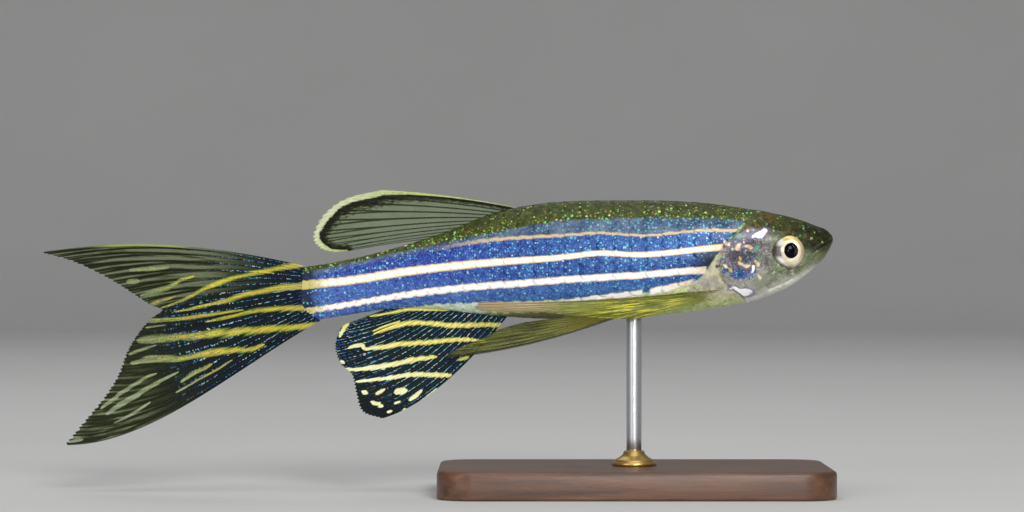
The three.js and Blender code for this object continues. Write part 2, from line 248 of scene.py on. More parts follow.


# %% [markdown]
# Blender's arrays take numpy arrays whole. This helper turns points and faces into a finished
# piece: a mesh in metres at the origin, smooth, with a UV map for baking, number attributes for
# the patterns, its faces turned outwards, and the frame's root body as its parent.

# %% From arrays to a piece
def piece(name, points, faces, uvs, material, replaced=(), attributes=None):
    """A piece from points (n, 3) in mm, lists of faces by corner and the UV of every corner."""
    mesh = bpy.data.meshes.new(name)
    points = np.asarray(points, float).reshape(-1, 3)
    mesh.vertices.add(len(points))
    mesh.vertices.foreach_set("co", (points * MM).ravel())
    corners = np.concatenate([f.ravel() for f in faces])
    sizes = np.concatenate([np.full(len(f), f.shape[1]) for f in faces])
    mesh.loops.add(len(corners))
    mesh.loops.foreach_set("vertex_index", corners.astype(np.int32))
    mesh.polygons.add(len(sizes))
    starts = np.concatenate([[0], np.cumsum(sizes)[:-1]])
    mesh.polygons.foreach_set("loop_start", starts.astype(np.int32))
    mesh.update(calc_edges=True)
    layer = mesh.uv_layers.new(name="OFBake")
    flat = np.concatenate([np.asarray(uv, float).reshape(-1, 2) for uv in uvs])
    layer.data.foreach_set("uv", flat.ravel())
    for key, values in (attributes or {}).items():
        data = mesh.attributes.new(key, "FLOAT", "POINT").data
        data.foreach_set("value", np.asarray(values, np.float32).ravel())
    shell = bmesh.new()
    shell.from_mesh(mesh)
    bmesh.ops.recalc_face_normals(shell, faces=shell.faces)
    shell.to_mesh(mesh)
    shell.free()
    mesh.polygons.foreach_set("use_smooth", np.ones(len(mesh.polygons), bool))
    mesh.materials.append(material)
    made = bpy.data.objects.new(name, mesh)
    bpy.context.scene.collection.objects.link(made)
    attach(made, "root")
    if replaced:
        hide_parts(*replaced)
    triangles = sum(len(f) * (f.shape[1] - 2) for f in faces)
    print(f"{name}: {len(points)} points, {triangles} triangles")
    return made


def grid_quads(rows, columns, wrapped=False):
    """The faces of a grid of points, by corner, and each corner's row and column."""
    last = columns if wrapped else columns - 1
    r, c = np.meshgrid(np.arange(rows - 1), np.arange(last), indexing="ij")
    r, c = r.ravel(), c.ravel()
    corner_rows = np.stack([r, r, r + 1, r + 1], axis=1)
    corner_columns = np.stack([c, c + 1, c + 1, c], axis=1)
    return corner_rows * columns + corner_columns % columns, corner_rows, corner_columns


def tube_faces(rows, columns):
    """A wrapped grid closed at both ends by a fan round one more point each."""
    quads, r, c = grid_quads(rows, columns, wrapped=True)
    quad_uv = np.stack([c / columns, r / (rows - 1)], axis=-1)
    ring = np.arange(columns)
    after = (ring + 1) % columns
    first, last = rows * columns, rows * columns + 1
    start = np.stack([np.full(columns, first), after, ring], axis=1)
    base = (rows - 1) * columns
    end = np.stack([np.full(columns, last), base + ring, base + after], axis=1)
    start_uv = np.stack([(start % columns) / columns, np.zeros(start.shape)], axis=-1)
    end_uv = np.stack([(end % columns) / columns, np.ones(end.shape)], axis=-1)
    fans = np.concatenate([start, end])
    return [quads, fans], [quad_uv, np.concatenate([start_uv, end_uv])]


def tube(points):
    """Points of a closed tube: the grid's own, then the middles of its two end rings."""
    ends = [points[0].mean(axis=0), points[-1].mean(axis=0)]
    return np.concatenate([points.reshape(-1, 3), ends])


def sheet_faces(rows, columns, share=0.48):
    """
    Two grids back to back, joined round the rim. The two sides lie side by side in the UV, and
    each takes its share of the width.
    """
    quads, r, c = grid_quads(rows, columns)
    side = rows * columns
    uv = np.stack([c / (columns - 1), r / (rows - 1)], axis=-1)
    front = uv * [share, 1.0]
    back = front + [1 - share, 0.0]
    along = np.arange(rows) * columns
    across = np.arange(columns)
    loop = np.concatenate([
        across[:-1], along[:-1] + columns - 1, side - 1 - across[:-1], along[:0:-1],
    ])
    after = np.roll(loop, -1)
    rim = np.stack([loop, loop + side, after + side, after], axis=1)
    spot = np.stack([loop % columns / (columns - 1), loop // columns / (rows - 1)], axis=-1)
    rim_uv = np.repeat((spot * [share, 1.0])[:, None], 4, axis=1)
    return [quads, quads[:, ::-1] + side, rim], [front, back[:, ::-1], rim_uv]


# %% [markdown]
# The markings are the fish's signature. Each line is a smooth curve through a few measured points
# along the flank, with its own width, and each blotch on the head is an oval. What the materials
# get is not a colour but a distance: how far a point is from each marking, in units of its own
# half width. Distances stay smooth between points, so an edge made from them stays sharp.

# %% The lines along the flank
#   Courses are (back, up) points, widths are (back, width), and FAR is past every mark
FAR = 9.0
LINES = {
    "line_1": dict(
        course=[(7.0, 0.50), (9.5, 0.47), (13.8, 0.11), (16.7, 0.29), (19.5, 0.11),
                (22.4, -0.04), (25.3, -0.29), (28.1, -0.79), (33.0, -1.75), (38.0, -2.9)],
        width=[(7.0, 0.24), (15.0, 0.22), (24.0, 0.3), (38.0, 0.32)],
    ),
    "line_2": dict(
        course=[(7.9, -0.70), (9.5, -0.86), (12.4, -1.18), (14.0, -1.27), (16.7, -1.15),
                (19.5, -1.46), (25.3, -1.90), (31.0, -2.54), (33.9, -3.01), (38.2, -3.46)],
        width=[(7.9, 0.50), (11.0, 0.44), (20.0, 0.46), (26.0, 0.60), (38.0, 0.66)],
    ),
    "line_3": dict(
        course=[(9.1, -2.36), (11.0, -2.47), (13.8, -2.72), (16.7, -2.90), (19.5, -3.08),
                (22.4, -3.33), (25.3, -3.54), (31.0, -4.22), (33.9, -4.72), (38.2, -5.40)],
        width=[(9.1, 0.52), (20.0, 0.52), (28.0, 0.54), (34.0, 0.46), (38.0, 0.42)],
    ),
    "line_4": dict(
        course=[(9.9, -3.15), (12.4, -3.79), (13.8, -4.00), (16.7, -4.31), (20.0, -4.66),
                (24.0, -5.0), (38.0, -6.4)],
        width=[(9.9, 0.40), (12.4, 0.56), (14.5, 0.46), (17.0, 0.34), (20.0, 0.24), (38.0, 0.1)],
    ),
}
BLUE_TOP = [(6.5, 1.22), (9.5, 1.32), (16.7, 1.29), (19.5, 1.14), (22.4, 0.66), (25.3, 0.12),
            (28.1, -0.48), (31.0, -1.05), (33.9, -1.72), (38.2, -2.55)]
BLUE_FOOT = [(9.0, -3.3), (12.4, -3.85), (16.7, -4.29), (19.5, -4.50), (25.3, -4.72),
             (28.1, -4.83), (31.0, -5.15), (33.9, -5.62), (38.2, -6.2)]
BLUE_FRONT = [(-6.0, 11.5), (-3.4, 10.2), (-2.8, 9.5), (-1.8, 8.75), (-1.2, 8.35),
              (-0.3, 7.4), (0.5, 6.9), (1.3, 6.3), (3.0, 5.8)]
GILL_EDGE = [(-6.0, 6.0), (-4.45, 6.4), (-3.2, 7.9), (-1.9, 8.2), (-0.2, 7.5), (1.2, 5.9),
             (2.4, 5.4)]


def curve_of(points):
    """A smooth curve through (place, value) pairs."""
    return through([p[0] for p in points], [p[1] for p in points])


gill_edge = curve_of(GILL_EDGE)
print("Lines along the flank:", ", ".join(LINES))

# %% The marks on the head
#   (back, up, half length, half height, turn in degrees), all in mm, as seen from the side
HEAD_MARKS = {
    # The first two pale ovals are painted highlights, where the gill cover's silver shines white
    "pale": [(5.37, 0.2, 0.66, 0.25, 25), (6.62, -3.88, 0.85, 0.24, -14), (5.9, -2.3, 0.14, 0.2, 0)],
    "gold": [(6.2, -0.66, 0.28, 0.15, 5), (6.95, -0.72, 0.27, 0.2, 0), (6.85, -1.5, 0.14, 0.1, 0),
             (6.75, -1.86, 0.26, 0.15, -20), (6.3, -2.02, 0.3, 0.11, 0), (5.62, -1.88, 0.17, 0.24, 20),
             (7.9, -2.05, 0.18, 0.14, 0), (7.42, -2.3, 0.2, 0.12, -30), (5.42, -2.95, 0.09, 0.24, 10),
             (7.75, -0.44, 0.15, 0.26, 20)],
    "blue": [(6.72, -2.68, 0.88, 0.38, -6), (7.85, -2.45, 0.3, 0.22, 0), (5.75, -2.5, 0.2, 0.24, 0),
             (8.35, -2.15, 0.16, 0.13, 0)],
    "dark": [(6.2, -1.36, 0.7, 0.38, 0), (7.15, -1.2, 0.5, 0.42, 30), (6.0, -0.3, 0.5, 0.2, 20)],
    "green": [(5.72, -0.86, 0.2, 0.17, 0), (6.27, -1.52, 0.1, 0.09, 0), (7.0, 0.06, 0.46, 0.17, 8),
              (5.95, -1.05, 0.12, 0.1, 0), (6.5, -1.2, 0.09, 0.12, 0), (5.5, -1.45, 0.12, 0.09, 0)],
    "glitter": [(6.75, -1.35, 1.35, 1.85, 0), (6.0, 0.15, 1.1, 0.5, 8)],
}
#   The waves that wear them: by how many mm, turns a mm across and along, and phase
DRIFTS = [(0.08, 5.0, 3.1, 0.4), (0.035, 9.0, -7.0, 1.9)]


def drifted(back, up):
    """The same places moved by a few crossed waves, so that an oval's edge wanders."""
    moved_back, moved_up = back, up
    for by, across, along, phase in DRIFTS:
        moved_back = moved_back + by * np.sin(across * up + along * back + phase)
        moved_up = moved_up + by * np.sin(across * back - along * up + 2 * phase)
    return moved_back, moved_up


def nearest_oval(back, up, ovals):
    """The least distance to a set of ovals, where 1 is an oval's edge and 0 its middle."""
    best = np.full(np.shape(back), FAR)
    for along, height, length, depth, turn in ovals:
        c, s = np.cos(np.radians(turn)), np.sin(np.radians(turn))
        # A mark's turn is seen from the right side, where back runs to the left.
        x = -(back - along) * c + (up - height) * s
        y = (back - along) * s + (up - height) * c
        best = np.minimum(best, np.hypot(x / length, y / depth))
    return best


def markings(points):
    """Every distance that the skin's material reads, at points of the skin or of a scale."""
    back, up, out = measured(points)
    found = {}
    for name, line in LINES.items():
        half = curve_of(line["width"])(back) / 2
        found[name] = (up - curve_of(line["course"])(back)) / half
    found["blue_top"] = up - curve_of(BLUE_TOP)(back)
    found["blue_foot"] = up - curve_of(BLUE_FOOT)(back)
    found["blue_front"] = back - curve_of(BLUE_FRONT)(up)
    found["gill"] = back - gill_edge(up)
    found["mouth"] = away_from(MOUTH, back, up)[0]
    on_side = np.abs(out) > 0.4 * half_width(back)
    moved = drifted(back, up)
    for name, ovals in HEAD_MARKS.items():
        found[name] = np.where(on_side, nearest_oval(*moved, ovals), FAR)
    return found


# %% [markdown]
# Shader arithmetic reads best as arithmetic. The class below wraps one output of a node, and its
# operators add Math nodes, so that a mask can be written as 1 - mask or a * b. Any other node
# comes from Shade.node, which takes the node's type, its settings and its inputs.

# %% Shader arithmetic
def operators(operation):
    """Two methods that add a Math node: one for wire + value, and one for value + wire."""

    def plain(self, other):
        return self.math(operation, self, other)

    def reflected(self, other):
        return self.math(operation, other, self)

    return plain, reflected


class Wire:
    """One output socket, on which + - * / and ** make Math nodes."""

    __add__, __radd__ = operators("ADD")
    __sub__, __rsub__ = operators("SUBTRACT")
    __mul__, __rmul__ = operators("MULTIPLY")
    __truediv__, __rtruediv__ = operators("DIVIDE")
    __pow__, __rpow__ = operators("POWER")

    def __init__(self, shade, socket):
        self.shade = shade
        self.socket = socket

    def math(self, operation, *inputs):
        return self.shade.node("ShaderNodeMath", dict(operation=operation), inputs)

    def __abs__(self):
        return self.math("ABSOLUTE", self)

    def whole(self):
        """The whole number at or below the value."""
        return self.math("FLOOR", self)

    def most(self, other):
        """The larger of two values."""
        return self.math("MAXIMUM", self, other)

    def above(self, edge, soft):
        """0 below the edge and 1 above it, eased over twice the soft distance."""
        ends = {"Value": self, "From Min": edge - soft, "From Max": edge + soft}
        return self.shade.node("ShaderNodeMapRange", dict(interpolation_type="SMOOTHSTEP"), ends)

    def below(self, edge, soft):
        """1 below the edge and 0 above it, the reverse of above."""
        return 1 - self.above(edge, soft)


def linear(colour):
    """An sRGB colour in 0 to 255 as the linear one that sockets take. A wire stays as it is."""
    if isinstance(colour, Wire):
        return colour
    c = np.array(colour) / 255
    c = np.where(c <= 0.04045, c / 12.92, ((c + 0.055) / 1.055) ** 2.4)
    return (*c, 1.0)


# %% A material's workbench
class Shade:
    """A new material with its Principled shader, and one method for every other node."""

    def __init__(self, name, constants):
        self.material = bpy.data.materials.new(name)
        self.material.use_nodes = True
        self.tree = self.material.node_tree
        self.shader = self.tree.nodes["Principled BSDF"]
        for key, value in constants.items():
            self.shader.inputs[key].default_value = value

    def node(self, kind, settings=None, inputs=(), output=0):
        """A node of a type: first its settings, then its inputs, each a wire or a constant."""
        made = self.tree.nodes.new(kind)
        for key, value in (settings or {}).items():
            setattr(made, key, value)
        pairs = inputs.items() if isinstance(inputs, dict) else enumerate(inputs)
        for key, value in pairs:
            if isinstance(value, Wire):
                self.tree.links.new(value.socket, made.inputs[key])
            else:
                made.inputs[key].default_value = value
        return Wire(self, made.outputs[output])

    def feed(self, wires):
        """Wires into the Principled shader, by the names of its inputs."""
        for key, wire in wires.items():
            self.tree.links.new(wire.socket, self.shader.inputs[key])

    def number(self, name):
        """One of the distances that the piece carries at its points."""
        return self.node("ShaderNodeAttribute", dict(attribute_name=name), output="Fac")

    def scaled(self, place, by):
        return self.node("ShaderNodeVectorMath", dict(operation="SCALE"), {0: place, "Scale": by})

    def millimetres(self):
        """The point that is being shaded, in the frame and in mm."""
        return self.scaled(self.node("ShaderNodeTexCoord", output="Object"), 1 / MM)

    def axes(self, place):
        """A place's x, y and z."""
        return [self.node("ShaderNodeSeparateXYZ", None, [place], axis) for axis in "XYZ"]

    def split(self, colour):
        """A colour's three numbers."""
        names = ("Red", "Green", "Blue")
        return [self.node("ShaderNodeSeparateColor", None, [colour], name) for name in names]

    def noise(self, place, scale, detail=2.0, rough=0.5, output="Fac"):
        inputs = {"Vector": place, "Scale": scale, "Detail": detail, "Roughness": rough}
        return self.node("ShaderNodeTexNoise", None, inputs, output)

    def cells(self, place, scale, output="Distance"):
        return self.node("ShaderNodeTexVoronoi", None, {"Vector": place, "Scale": scale}, output)

    def mix(self, factor, first, second):
        """The first colour where the factor is 0, and the second where it is 1."""
        inputs = {0: factor, 6: linear(first), 7: linear(second)}
        return self.node("ShaderNodeMix", dict(data_type="RGBA"), inputs, output=2)

    def paint(self, ground, *coats):
        """Coats of (mask, colour) laid over a ground, each over the one before."""
        for mask, colour in coats:
            ground = self.mix(mask, ground, colour)
        return ground

    def ramp(self, factor, stops):
        """A colour that follows the factor through stops of (position, colour)."""
        made = self.node("ShaderNodeValToRGB", None, [factor], "Color")
        elements = made.socket.node.color_ramp.elements
        while len(elements) < len(stops):
            elements.new(1.0)
        for element, (position, colour) in zip(elements, stops):
            element.position = position
            element.color = linear(colour)
        return made

    def bump(self, height, distance):
        """Fine relief: a height of 1 stands out by the distance in mm."""
        inputs = {"Height": height, "Distance": distance * MM}
        self.feed({"Normal": self.node("ShaderNodeBump", None, inputs)})


print("Ground colour of the skin in linear numbers:", np.round(linear((45, 82, 149)), 3))

# %% [markdown]
# The skin's colours. From the back down: olive brown, then violet blue between pale lines, then
# silver and cream on the belly. What brings it to life is the glitter: guanine plates a tenth of
# a millimetre wide that flash cyan in the blue and green gold on the back. Voronoi cells give the
# plates, and each cell's own random colour decides whether it flashes. Skin and scales use this
# one material, so the markings run through both.

# %% The skin's workbench
class SkinShade(Shade):
    """
    What every part of the skin draws on: the place on the fish, noise in three sizes, and glitter
    in two. The small dots and the larger flakes each have random numbers of their own.
    """

    def __init__(self):
        super().__init__("danio_skin", {
            "Coat Weight": 0.12, "Coat Roughness": 0.16, "Specular IOR Level": 0.2,
        })
        spot = self.millimetres()
        x, _, z = self.axes(spot)
        self.back, self.up = SNOUT_X - x, z - SNOUT_Z
        self.fine = self.noise(spot, 9.0, 3.0) - 0.5
        self.patch = self.noise(spot, 2.6) - 0.5
        self.broad = self.noise(spot, 0.9, 3.0) - 0.5
        shift = self.scaled(self.noise(spot, 7.0, output="Color"), 0.16)
        ragged = self.node("ShaderNodeVectorMath", dict(operation="ADD"), [spot, shift])
        self.chance, self.hue, size = self.split(self.cells(ragged, 5.6, "Color"))
        self.dot = self.cells(ragged, 5.6).below(0.18 + 0.28 * size, 0.12)
        self.luck, self.tint, spread = self.split(self.cells(ragged, 3.7, "Color"))
        self.flake = self.cells(ragged, 3.7).below(0.16 + 0.24 * spread, 0.1)
        self.spangle = self.ramp(self.tint, [
            (0.0, (106, 206, 96)), (0.45, (190, 232, 112)), (0.75, (234, 216, 124)),
            (1.0, (104, 214, 206)),
        ])
        self.edge = self.broad * 0.06 + self.fine * 0.14
        self.top = self.number("blue_top") + self.edge
        self.foot = self.number("blue_foot") + self.edge
        self.front = self.number("blue_front")
        self.gill = self.number("gill")


# %% [markdown]
# The blue is a layer of tiny crystals over black pigment, so it is no flat colour: it swings from
# ink to royal blue in blotches, and turns more violet towards the tail. Coats over that ground
# carry what changes along the flank, each with a mask of its own.

# %% The blue flank
def blue_flank(s):
    tone = 0.5 + s.patch * 0.8 + s.fine * 1.5
    royal = s.ramp(tone, [(0.15, (24, 48, 109)), (0.5, (45, 82, 149)), (0.85, (78, 124, 183))])
    violet = s.ramp(tone, [(0.15, (30, 38, 111)), (0.5, (46, 69, 153)), (0.85, (84, 113, 190))])
    cyan = s.ramp(s.hue, [
        (0.0, (84, 158, 220)), (0.4, (110, 206, 232)), (0.75, (112, 216, 194)),
        (1.0, (214, 238, 252)),
    ])
    bright = s.dot * s.chance.above(0.46 + 0.16 * s.back.above(24.0, 8.0), 0.04)
    in_front = s.front.below(1.4, 1.3) * (s.up + s.edge).above(-2.4, 0.2)
    deepest = 0.5 + 0.45 * abs(s.up + 1.6).below(0.5, 0.4)
    slate = s.mix(0.5 + s.broad * 2.4 + s.fine * 1.4, (36, 56, 74), (118, 133, 140))
    slate = s.mix(bright * 0.6, slate, (116, 196, 186))
    painted_light_blue = s.mix(tone, (50, 92, 176), (118, 164, 214))
    tail_root = (s.back + s.patch * 1.6 + s.fine).above(37.1, 0.4)
    return s.paint(
        s.mix(s.back.above(23.0, 7.0), royal, violet),
        (s.dot * s.chance.below(0.26, 0.04) * 0.8, (18, 32, 94)),  # dark dots
        (bright * 0.78, cyan),  # bright dots
        (in_front * deepest, (8, 14, 26)),  # the dark blotch behind the gill cover
        (s.number("line_1").above(0.0, 1.5) * 0.7, slate),  # slate over the uppermost line
        # painted light: the lower flank is painted lighter, as if lit from the front
        (s.up.below(-3.2, 0.7) * 0.35, painted_light_blue),  # lighter low on the flank
        (tail_root * 0.9, (12, 18, 42)),  # dark at the tail fin's root
        (bright * s.back.above(36.4, 0.5) * 0.6, cyan),
    )


# %% [markdown]
# Over the blue lies the olive back, whose flakes of gold and green crowd along the border. Under
# it lies the belly, silver cream with a touch of green that is partly a painted reflection of
# green surroundings. Over the anal fin the belly has a painted highlight of bluish white, along
# the keel in front of it a painted shade of dark olive, and it is golden at the roots of the
# pelvic fins.

# %% The back and the belly
def olive_back(s):
    olive = s.ramp(0.5 + s.patch * 0.9 + s.fine * 0.9 - s.top * 0.1, [
        (0.1, (26, 30, 6)), (0.5, (58, 67, 18)), (0.9, (102, 110, 42)),
    ])
    gold = s.ramp(s.hue, [
        (0.0, (88, 166, 76)), (0.4, (150, 198, 88)), (0.7, (206, 190, 96)),
        (0.85, (180, 122, 62)), (1.0, (92, 186, 182)),
    ])
    crowd = s.top.below(0.45, 0.4)
    return s.paint(
        olive,
        (s.dot * s.chance.above(0.78 - 0.4 * crowd, 0.04) * 0.6, gold),
        (s.flake * s.luck.above(0.9 - 0.4 * crowd, 0.03) * 0.85, s.spangle),
    )


def silver_belly(s):
    # The green in the cream is partly a painted reflection of green surroundings in the silver
    cream = s.ramp(0.5 + s.patch * 0.9 + s.fine * 0.6, [
        (0.1, (142, 158, 88)), (0.5, (198, 214, 148)), (0.9, (236, 242, 200)),
    ])
    vent_highlight = abs(s.back - 26.5).below(1.9, 0.8) * (0.5 + s.patch)
    keel = (s.foot + s.patch * 0.2).below(-0.8, 0.15) * abs(s.back - 22.5).below(4.0, 1.4)
    golden = abs(s.back - 15.9).below(1.7, 0.9) * s.foot.below(-0.5, 0.3) * (0.6 + s.patch)
    return s.paint(
        cream,
        # painted highlight: bluish white on the belly's silver over the anal fin
        (vent_highlight * 0.8, (206, 222, 240)),
        # painted shade: dark olive under the belly, along the keel in front of the anal fin
        (keel * 0.8, (52, 58, 26)),
        (golden * 0.8, (206, 188, 62)),
    )


# %% [markdown]
# The head has four tones: a grey green cheek that turns lilac behind the eye, a silver throat, an
# olive muzzle, and a dark crown that reaches down to the eye. The mouth is drawn in twice, as a
# wide soft painted shadow and as a thin dark line of painted shade in its slit. Behind the gill
# cover comes a strip of paler shoulder.

# %% The head
def cheek_tones(s):
    green = s.ramp(0.5 + s.patch * 1.4 + s.fine * 1.3, [
        (0.1, (56, 64, 38)), (0.45, (104, 116, 84)), (0.7, (144, 150, 122)),
        (1.0, (222, 220, 206)),
    ])
    lilac = s.ramp(0.5 + s.broad * 1.2 + s.fine * 1.4 + s.patch * 0.9, [
        (0.1, (58, 50, 62)), (0.5, (112, 102, 110)), (0.9, (192, 186, 186)),
    ])
    lilac = s.mix(s.up.below(-2.6, 0.5) * 0.7, lilac, (164, 166, 146))
    return s.paint(
        green,
        ((s.back + s.patch * 0.6).above(4.6, 0.5) * 0.9, lilac),
        # painted reflection: clouds of green reflected in the silvery cheek, over its own grey green
        ((s.patch + s.fine * 0.3).above(0.1, 0.16) * 0.45, (92, 122, 74)),  # green clouds
        ((s.broad - s.patch * 0.5).above(0.08, 0.1) * 0.35, (188, 176, 178)),  # pale clouds
        (s.flake * s.luck.above(0.56, 0.05) * 0.45, s.mix(s.tint, (104, 132, 96), (236, 232, 222))),
    )


def throat_coat(s):
    tone = s.mix(0.5 + s.patch * 1.6 + s.fine, (190, 192, 170), (255, 254, 246))
    return (s.up + s.back * 0.45).below(-1.5, 0.3) * 0.85, tone


def muzzle_coat(s):
    snout = (s.up * 0.9 - s.back + s.patch * 1.4 + s.broad + s.fine * 0.6).above(-2.6, 0.7)
    below_mouth = (s.up + s.back * 0.66).below(-0.15, 0.12)
    darker = s.mix(below_mouth, (32, 36, 12), (76, 84, 44))
    paler = s.mix(below_mouth, (60, 64, 30), (124, 132, 92))
    return snout * 0.9, s.mix(0.4 + s.patch * 1.4 + s.fine, darker, paler)


def crown_coat(s):
    before_eye = (s.back + s.patch * 0.4).below(2.35, 0.35)
    border = s.up - s.back * 0.12 + s.edge * 3.0 + s.patch * 0.2 + before_eye * 0.62
    olive = s.ramp(0.5 + s.patch * 1.1 + s.fine * 1.2 + (s.back - 4.5) * 0.07, [
        (0.1, (16, 19, 4)), (0.5, (48, 54, 16)), (0.9, (100, 92, 38)),
    ])
    rusty = (s.broad + s.fine * 0.6).above(0.08, 0.08) * s.back.above(3.0, 1.0)
    tone = s.paint(
        olive,
        (rusty * 0.55, (112, 74, 34)),
        (s.flake * s.luck.above(0.7, 0.05) * 0.4, s.spangle),
    )
    return border.above(-0.5, 0.22 + 0.2 * before_eye), tone


def head_tones(s):
    mouth = s.number("mouth") + s.fine * 0.06
    return s.paint(
        cheek_tones(s), throat_coat(s), muzzle_coat(s), crown_coat(s),
        # painted shade: a wide soft shadow round the mouth and a dark line in its slit
        (mouth.below(0.24, 0.12) * 0.55, (54, 56, 28)),
        (mouth.below(0.07, 0.04) * 0.85, (24, 22, 12)),
    )


def shoulder_coat(s, olive):
    behind = s.gill.above(0.0, 0.1) * s.front.below(-0.05, 0.12)
    tone = s.paint(
        s.mix(0.5 + s.patch * 1.8 + s.fine, (136, 128, 116), (212, 202, 172)),
        (s.broad.above(0.06, 0.08) * 0.4, (120, 108, 140)),
        (s.up.above(0.3, 0.4), olive),
    )
    return behind * s.up.above(-4.4, 0.5) * 0.85, tone


# %% [markdown]
# The marks on the gill cover are its ovals with their edges worn by noise, over a violet ground
# full of flakes. Its two large pale ovals are painted highlights on its silver, each with a
# painted violet fringe. The lines along the flank are ragged too, and paler in the middle than
# at their edges. They turn browner where they meet the head and yellow at the root of the tail fin.

# %% The marks and the lines
def cheek_marks(s, ground, blue):
    """The coats of the marks. The ground is the head's mask, and the blue is the flank's."""
    wobble = s.fine + s.patch * 0.7
    marks = {name: (s.number(name) + wobble).below(0.95, 0.3) for name in HEAD_MARKS}
    pale = (s.number("pale") + wobble * 0.3).below(0.95, 0.16)
    highlight_fringe = (s.number("pale") + wobble * 0.4).below(1.35, 0.25)
    ground = marks["glitter"] * ground
    violet = s.mix(0.5 + s.patch * 1.8 + s.fine * 1.5, (26, 24, 44), (130, 118, 138))
    sparks = s.ramp(s.tint, [
        (0.0, (86, 84, 178)), (0.25, (120, 176, 214)), (0.45, (130, 196, 156)),
        (0.7, (230, 204, 150)), (1.0, (246, 236, 226)),
    ])
    shell = s.ramp(0.5 + s.patch * 1.3 + s.broad, [
        (0.2, (196, 168, 92)), (0.5, (236, 204, 166)), (0.75, (238, 240, 204)),
    ])
    return [
        (ground * (0.75 + s.broad), violet),
        (marks["dark"] * (0.7 + s.patch * 1.6) * 0.9, (16, 20, 28)),
        (marks["blue"] * 0.85, blue),
        (ground * s.flake * s.luck.above(0.4, 0.05) * 0.85, sparks),
        (marks["green"] * 0.7, s.mix(s.chance, (96, 150, 80), (70, 160, 150))),
        (marks["gold"] * 0.9, shell),
        # painted highlights: white in the two large pale ovals over the silver, with a painted violet
        # fringe
        (highlight_fringe * 0.6, (96, 82, 150)),
        (pale, (255, 253, 250)),
    ]


def line_coats(s):
    """The coats of the lines, each with how far it runs and its colours at the edge and inside."""
    gap = 1 - abs(s.back - 13.45).below(0.28, 0.1)
    upper_run = s.back.above(6.95, 0.15) * s.back.below(26.5, 3.2) * 0.85
    lowest_run = s.back.above(10.1, 0.25) * s.back.below(19.0, 1.6) * gap
    lines = {
        "line_1": (upper_run, (150, 122, 84), (214, 192, 150)),
        "line_2": (s.back.above(8.0, 0.1), (214, 176, 128), (255, 250, 228)),
        "line_3": (s.back.above(9.2, 0.1), (222, 196, 168), (255, 253, 248)),
        "line_4": (lowest_run, (220, 196, 160), (255, 253, 248)),
    }
    coats = []
    for name, (run, rim, core) in lines.items():
        loose = 1.0 if name == "line_1" else 0.0
        across = abs(s.number(name)) + s.fine * (0.4 + loose) + s.broad * 0.2
        across = across + s.patch * 0.5 * loose
        tone = s.paint(
            s.mix(across.below(0.72, 0.22), rim, core),
            ((s.back + s.patch).above(36.6, 0.9) * 0.9, (188, 178, 92)),
            (s.front.below(1.0, 1.2) * (0.7 + s.patch * 1.6), (206, 178, 132)),
        )
        coats.append((across.below(1.0, 0.12 + 0.16 * loose) * run, tone))
    return coats


# %% [markdown]
# The whole skin is these parts laid over one another. The blue between the lines is also a little
# metallic and smoother, the back is the dullest part, and the wet head shines.

# %% The skin's material
def skin_material():
    s = SkinShade()
    blue, olive = blue_flank(s), olive_back(s)
    is_back = s.top.above(-0.3, 0.14)
    on_head = s.gill.below(0.04, 0.1)
    in_blue = s.top.below(0.0, 0.12) * s.foot.above(0.0, 0.06)
    in_blue = in_blue * (s.front + s.edge * 2.0).above(0.0, 0.12)
    lines = line_coats(s)
    colour = s.paint(
        silver_belly(s), (is_back, olive), (in_blue, blue), (on_head, head_tones(s)),
        shoulder_coat(s, olive), *cheek_marks(s, on_head, blue), *lines,
    )
    plain_blue = in_blue
    for mask, _ in lines:
        plain_blue = plain_blue * (1 - mask)
    s.feed({
        "Base Color": colour,
        "Metallic": 0.04 + 0.14 * plain_blue,
        "Roughness": 0.42 - 0.12 * s.dot * plain_blue + 0.1 * is_back - 0.1 * on_head,
    })
    s.bump(s.fine * 0.5 + s.patch * 0.3, 0.01)
    return s.material


SKIN = skin_material()
print("Nodes in the skin's material:", len(SKIN.node_tree.nodes))

# %% [markdown]
# The skin itself is one closed grid, laid a coat's depth inside the flesh's solids, so that the
# scales can lie on it and still stay within them. The head has no scales, so there the skin rises
# to the surface. Relief then presses in what a danio's head shows: the mouth that turns up, the
# jaw line, the nostrils, the sockets, the edge of the cheek plate and the gill cover with its
# slit. Rows lie closest on the head, where the detail is.

# %% Relief on the head
COAT = 0.09
EYE = dict(back=3.4, up=-1.07, out=1.42, radius=1.22, depth=0.68, forward=0.12, opening=1.1)
MOUTH = [(-0.4, 0.2), (0.0, -0.07), (0.5, -0.43), (1.15, -0.86)]
JAW = [(1.2, -0.9), (1.75, -1.5), (2.15, -2.15), (2.7, -2.8), (3.6, -3.32), (4.6, -3.75)]
CHEEK_EDGE = [(5.2, -0.35), (5.1, -0.9), (5.12, -1.9), (5.25, -2.9), (4.9, -3.6), (4.0, -3.75)]
NOSTRIL = (1.95, 0.6)


def away_from(course, back, up):
    """From points to a smooth line on the side: the distance in mm, and how far along it, 0 to 1."""
    line = np.array(course)
    steps = np.arange(len(line))
    dense = np.linspace(0, steps[-1], 5 * len(line))
    path = np.stack([through(steps, line[:, 0])(dense), through(steps, line[:, 1])(dense)], axis=1)
    best, along = np.full(np.shape(back), FAR), np.zeros(np.shape(back))
    for step, ((b0, u0), (b1, u1)) in enumerate(zip(path[:-1], path[1:])):
        length = (b1 - b0) ** 2 + (u1 - u0) ** 2 + 1e-9
        t = np.clip(((back - b0) * (b1 - b0) + (up - u0) * (u1 - u0)) / length, 0, 1)
        here = np.hypot(back - b0 - t * (b1 - b0), up - u0 - t * (u1 - u0))
        along = np.where(here < best, (step + t) / (len(path) - 1), along)
        best = np.minimum(best, here)
    return best, along


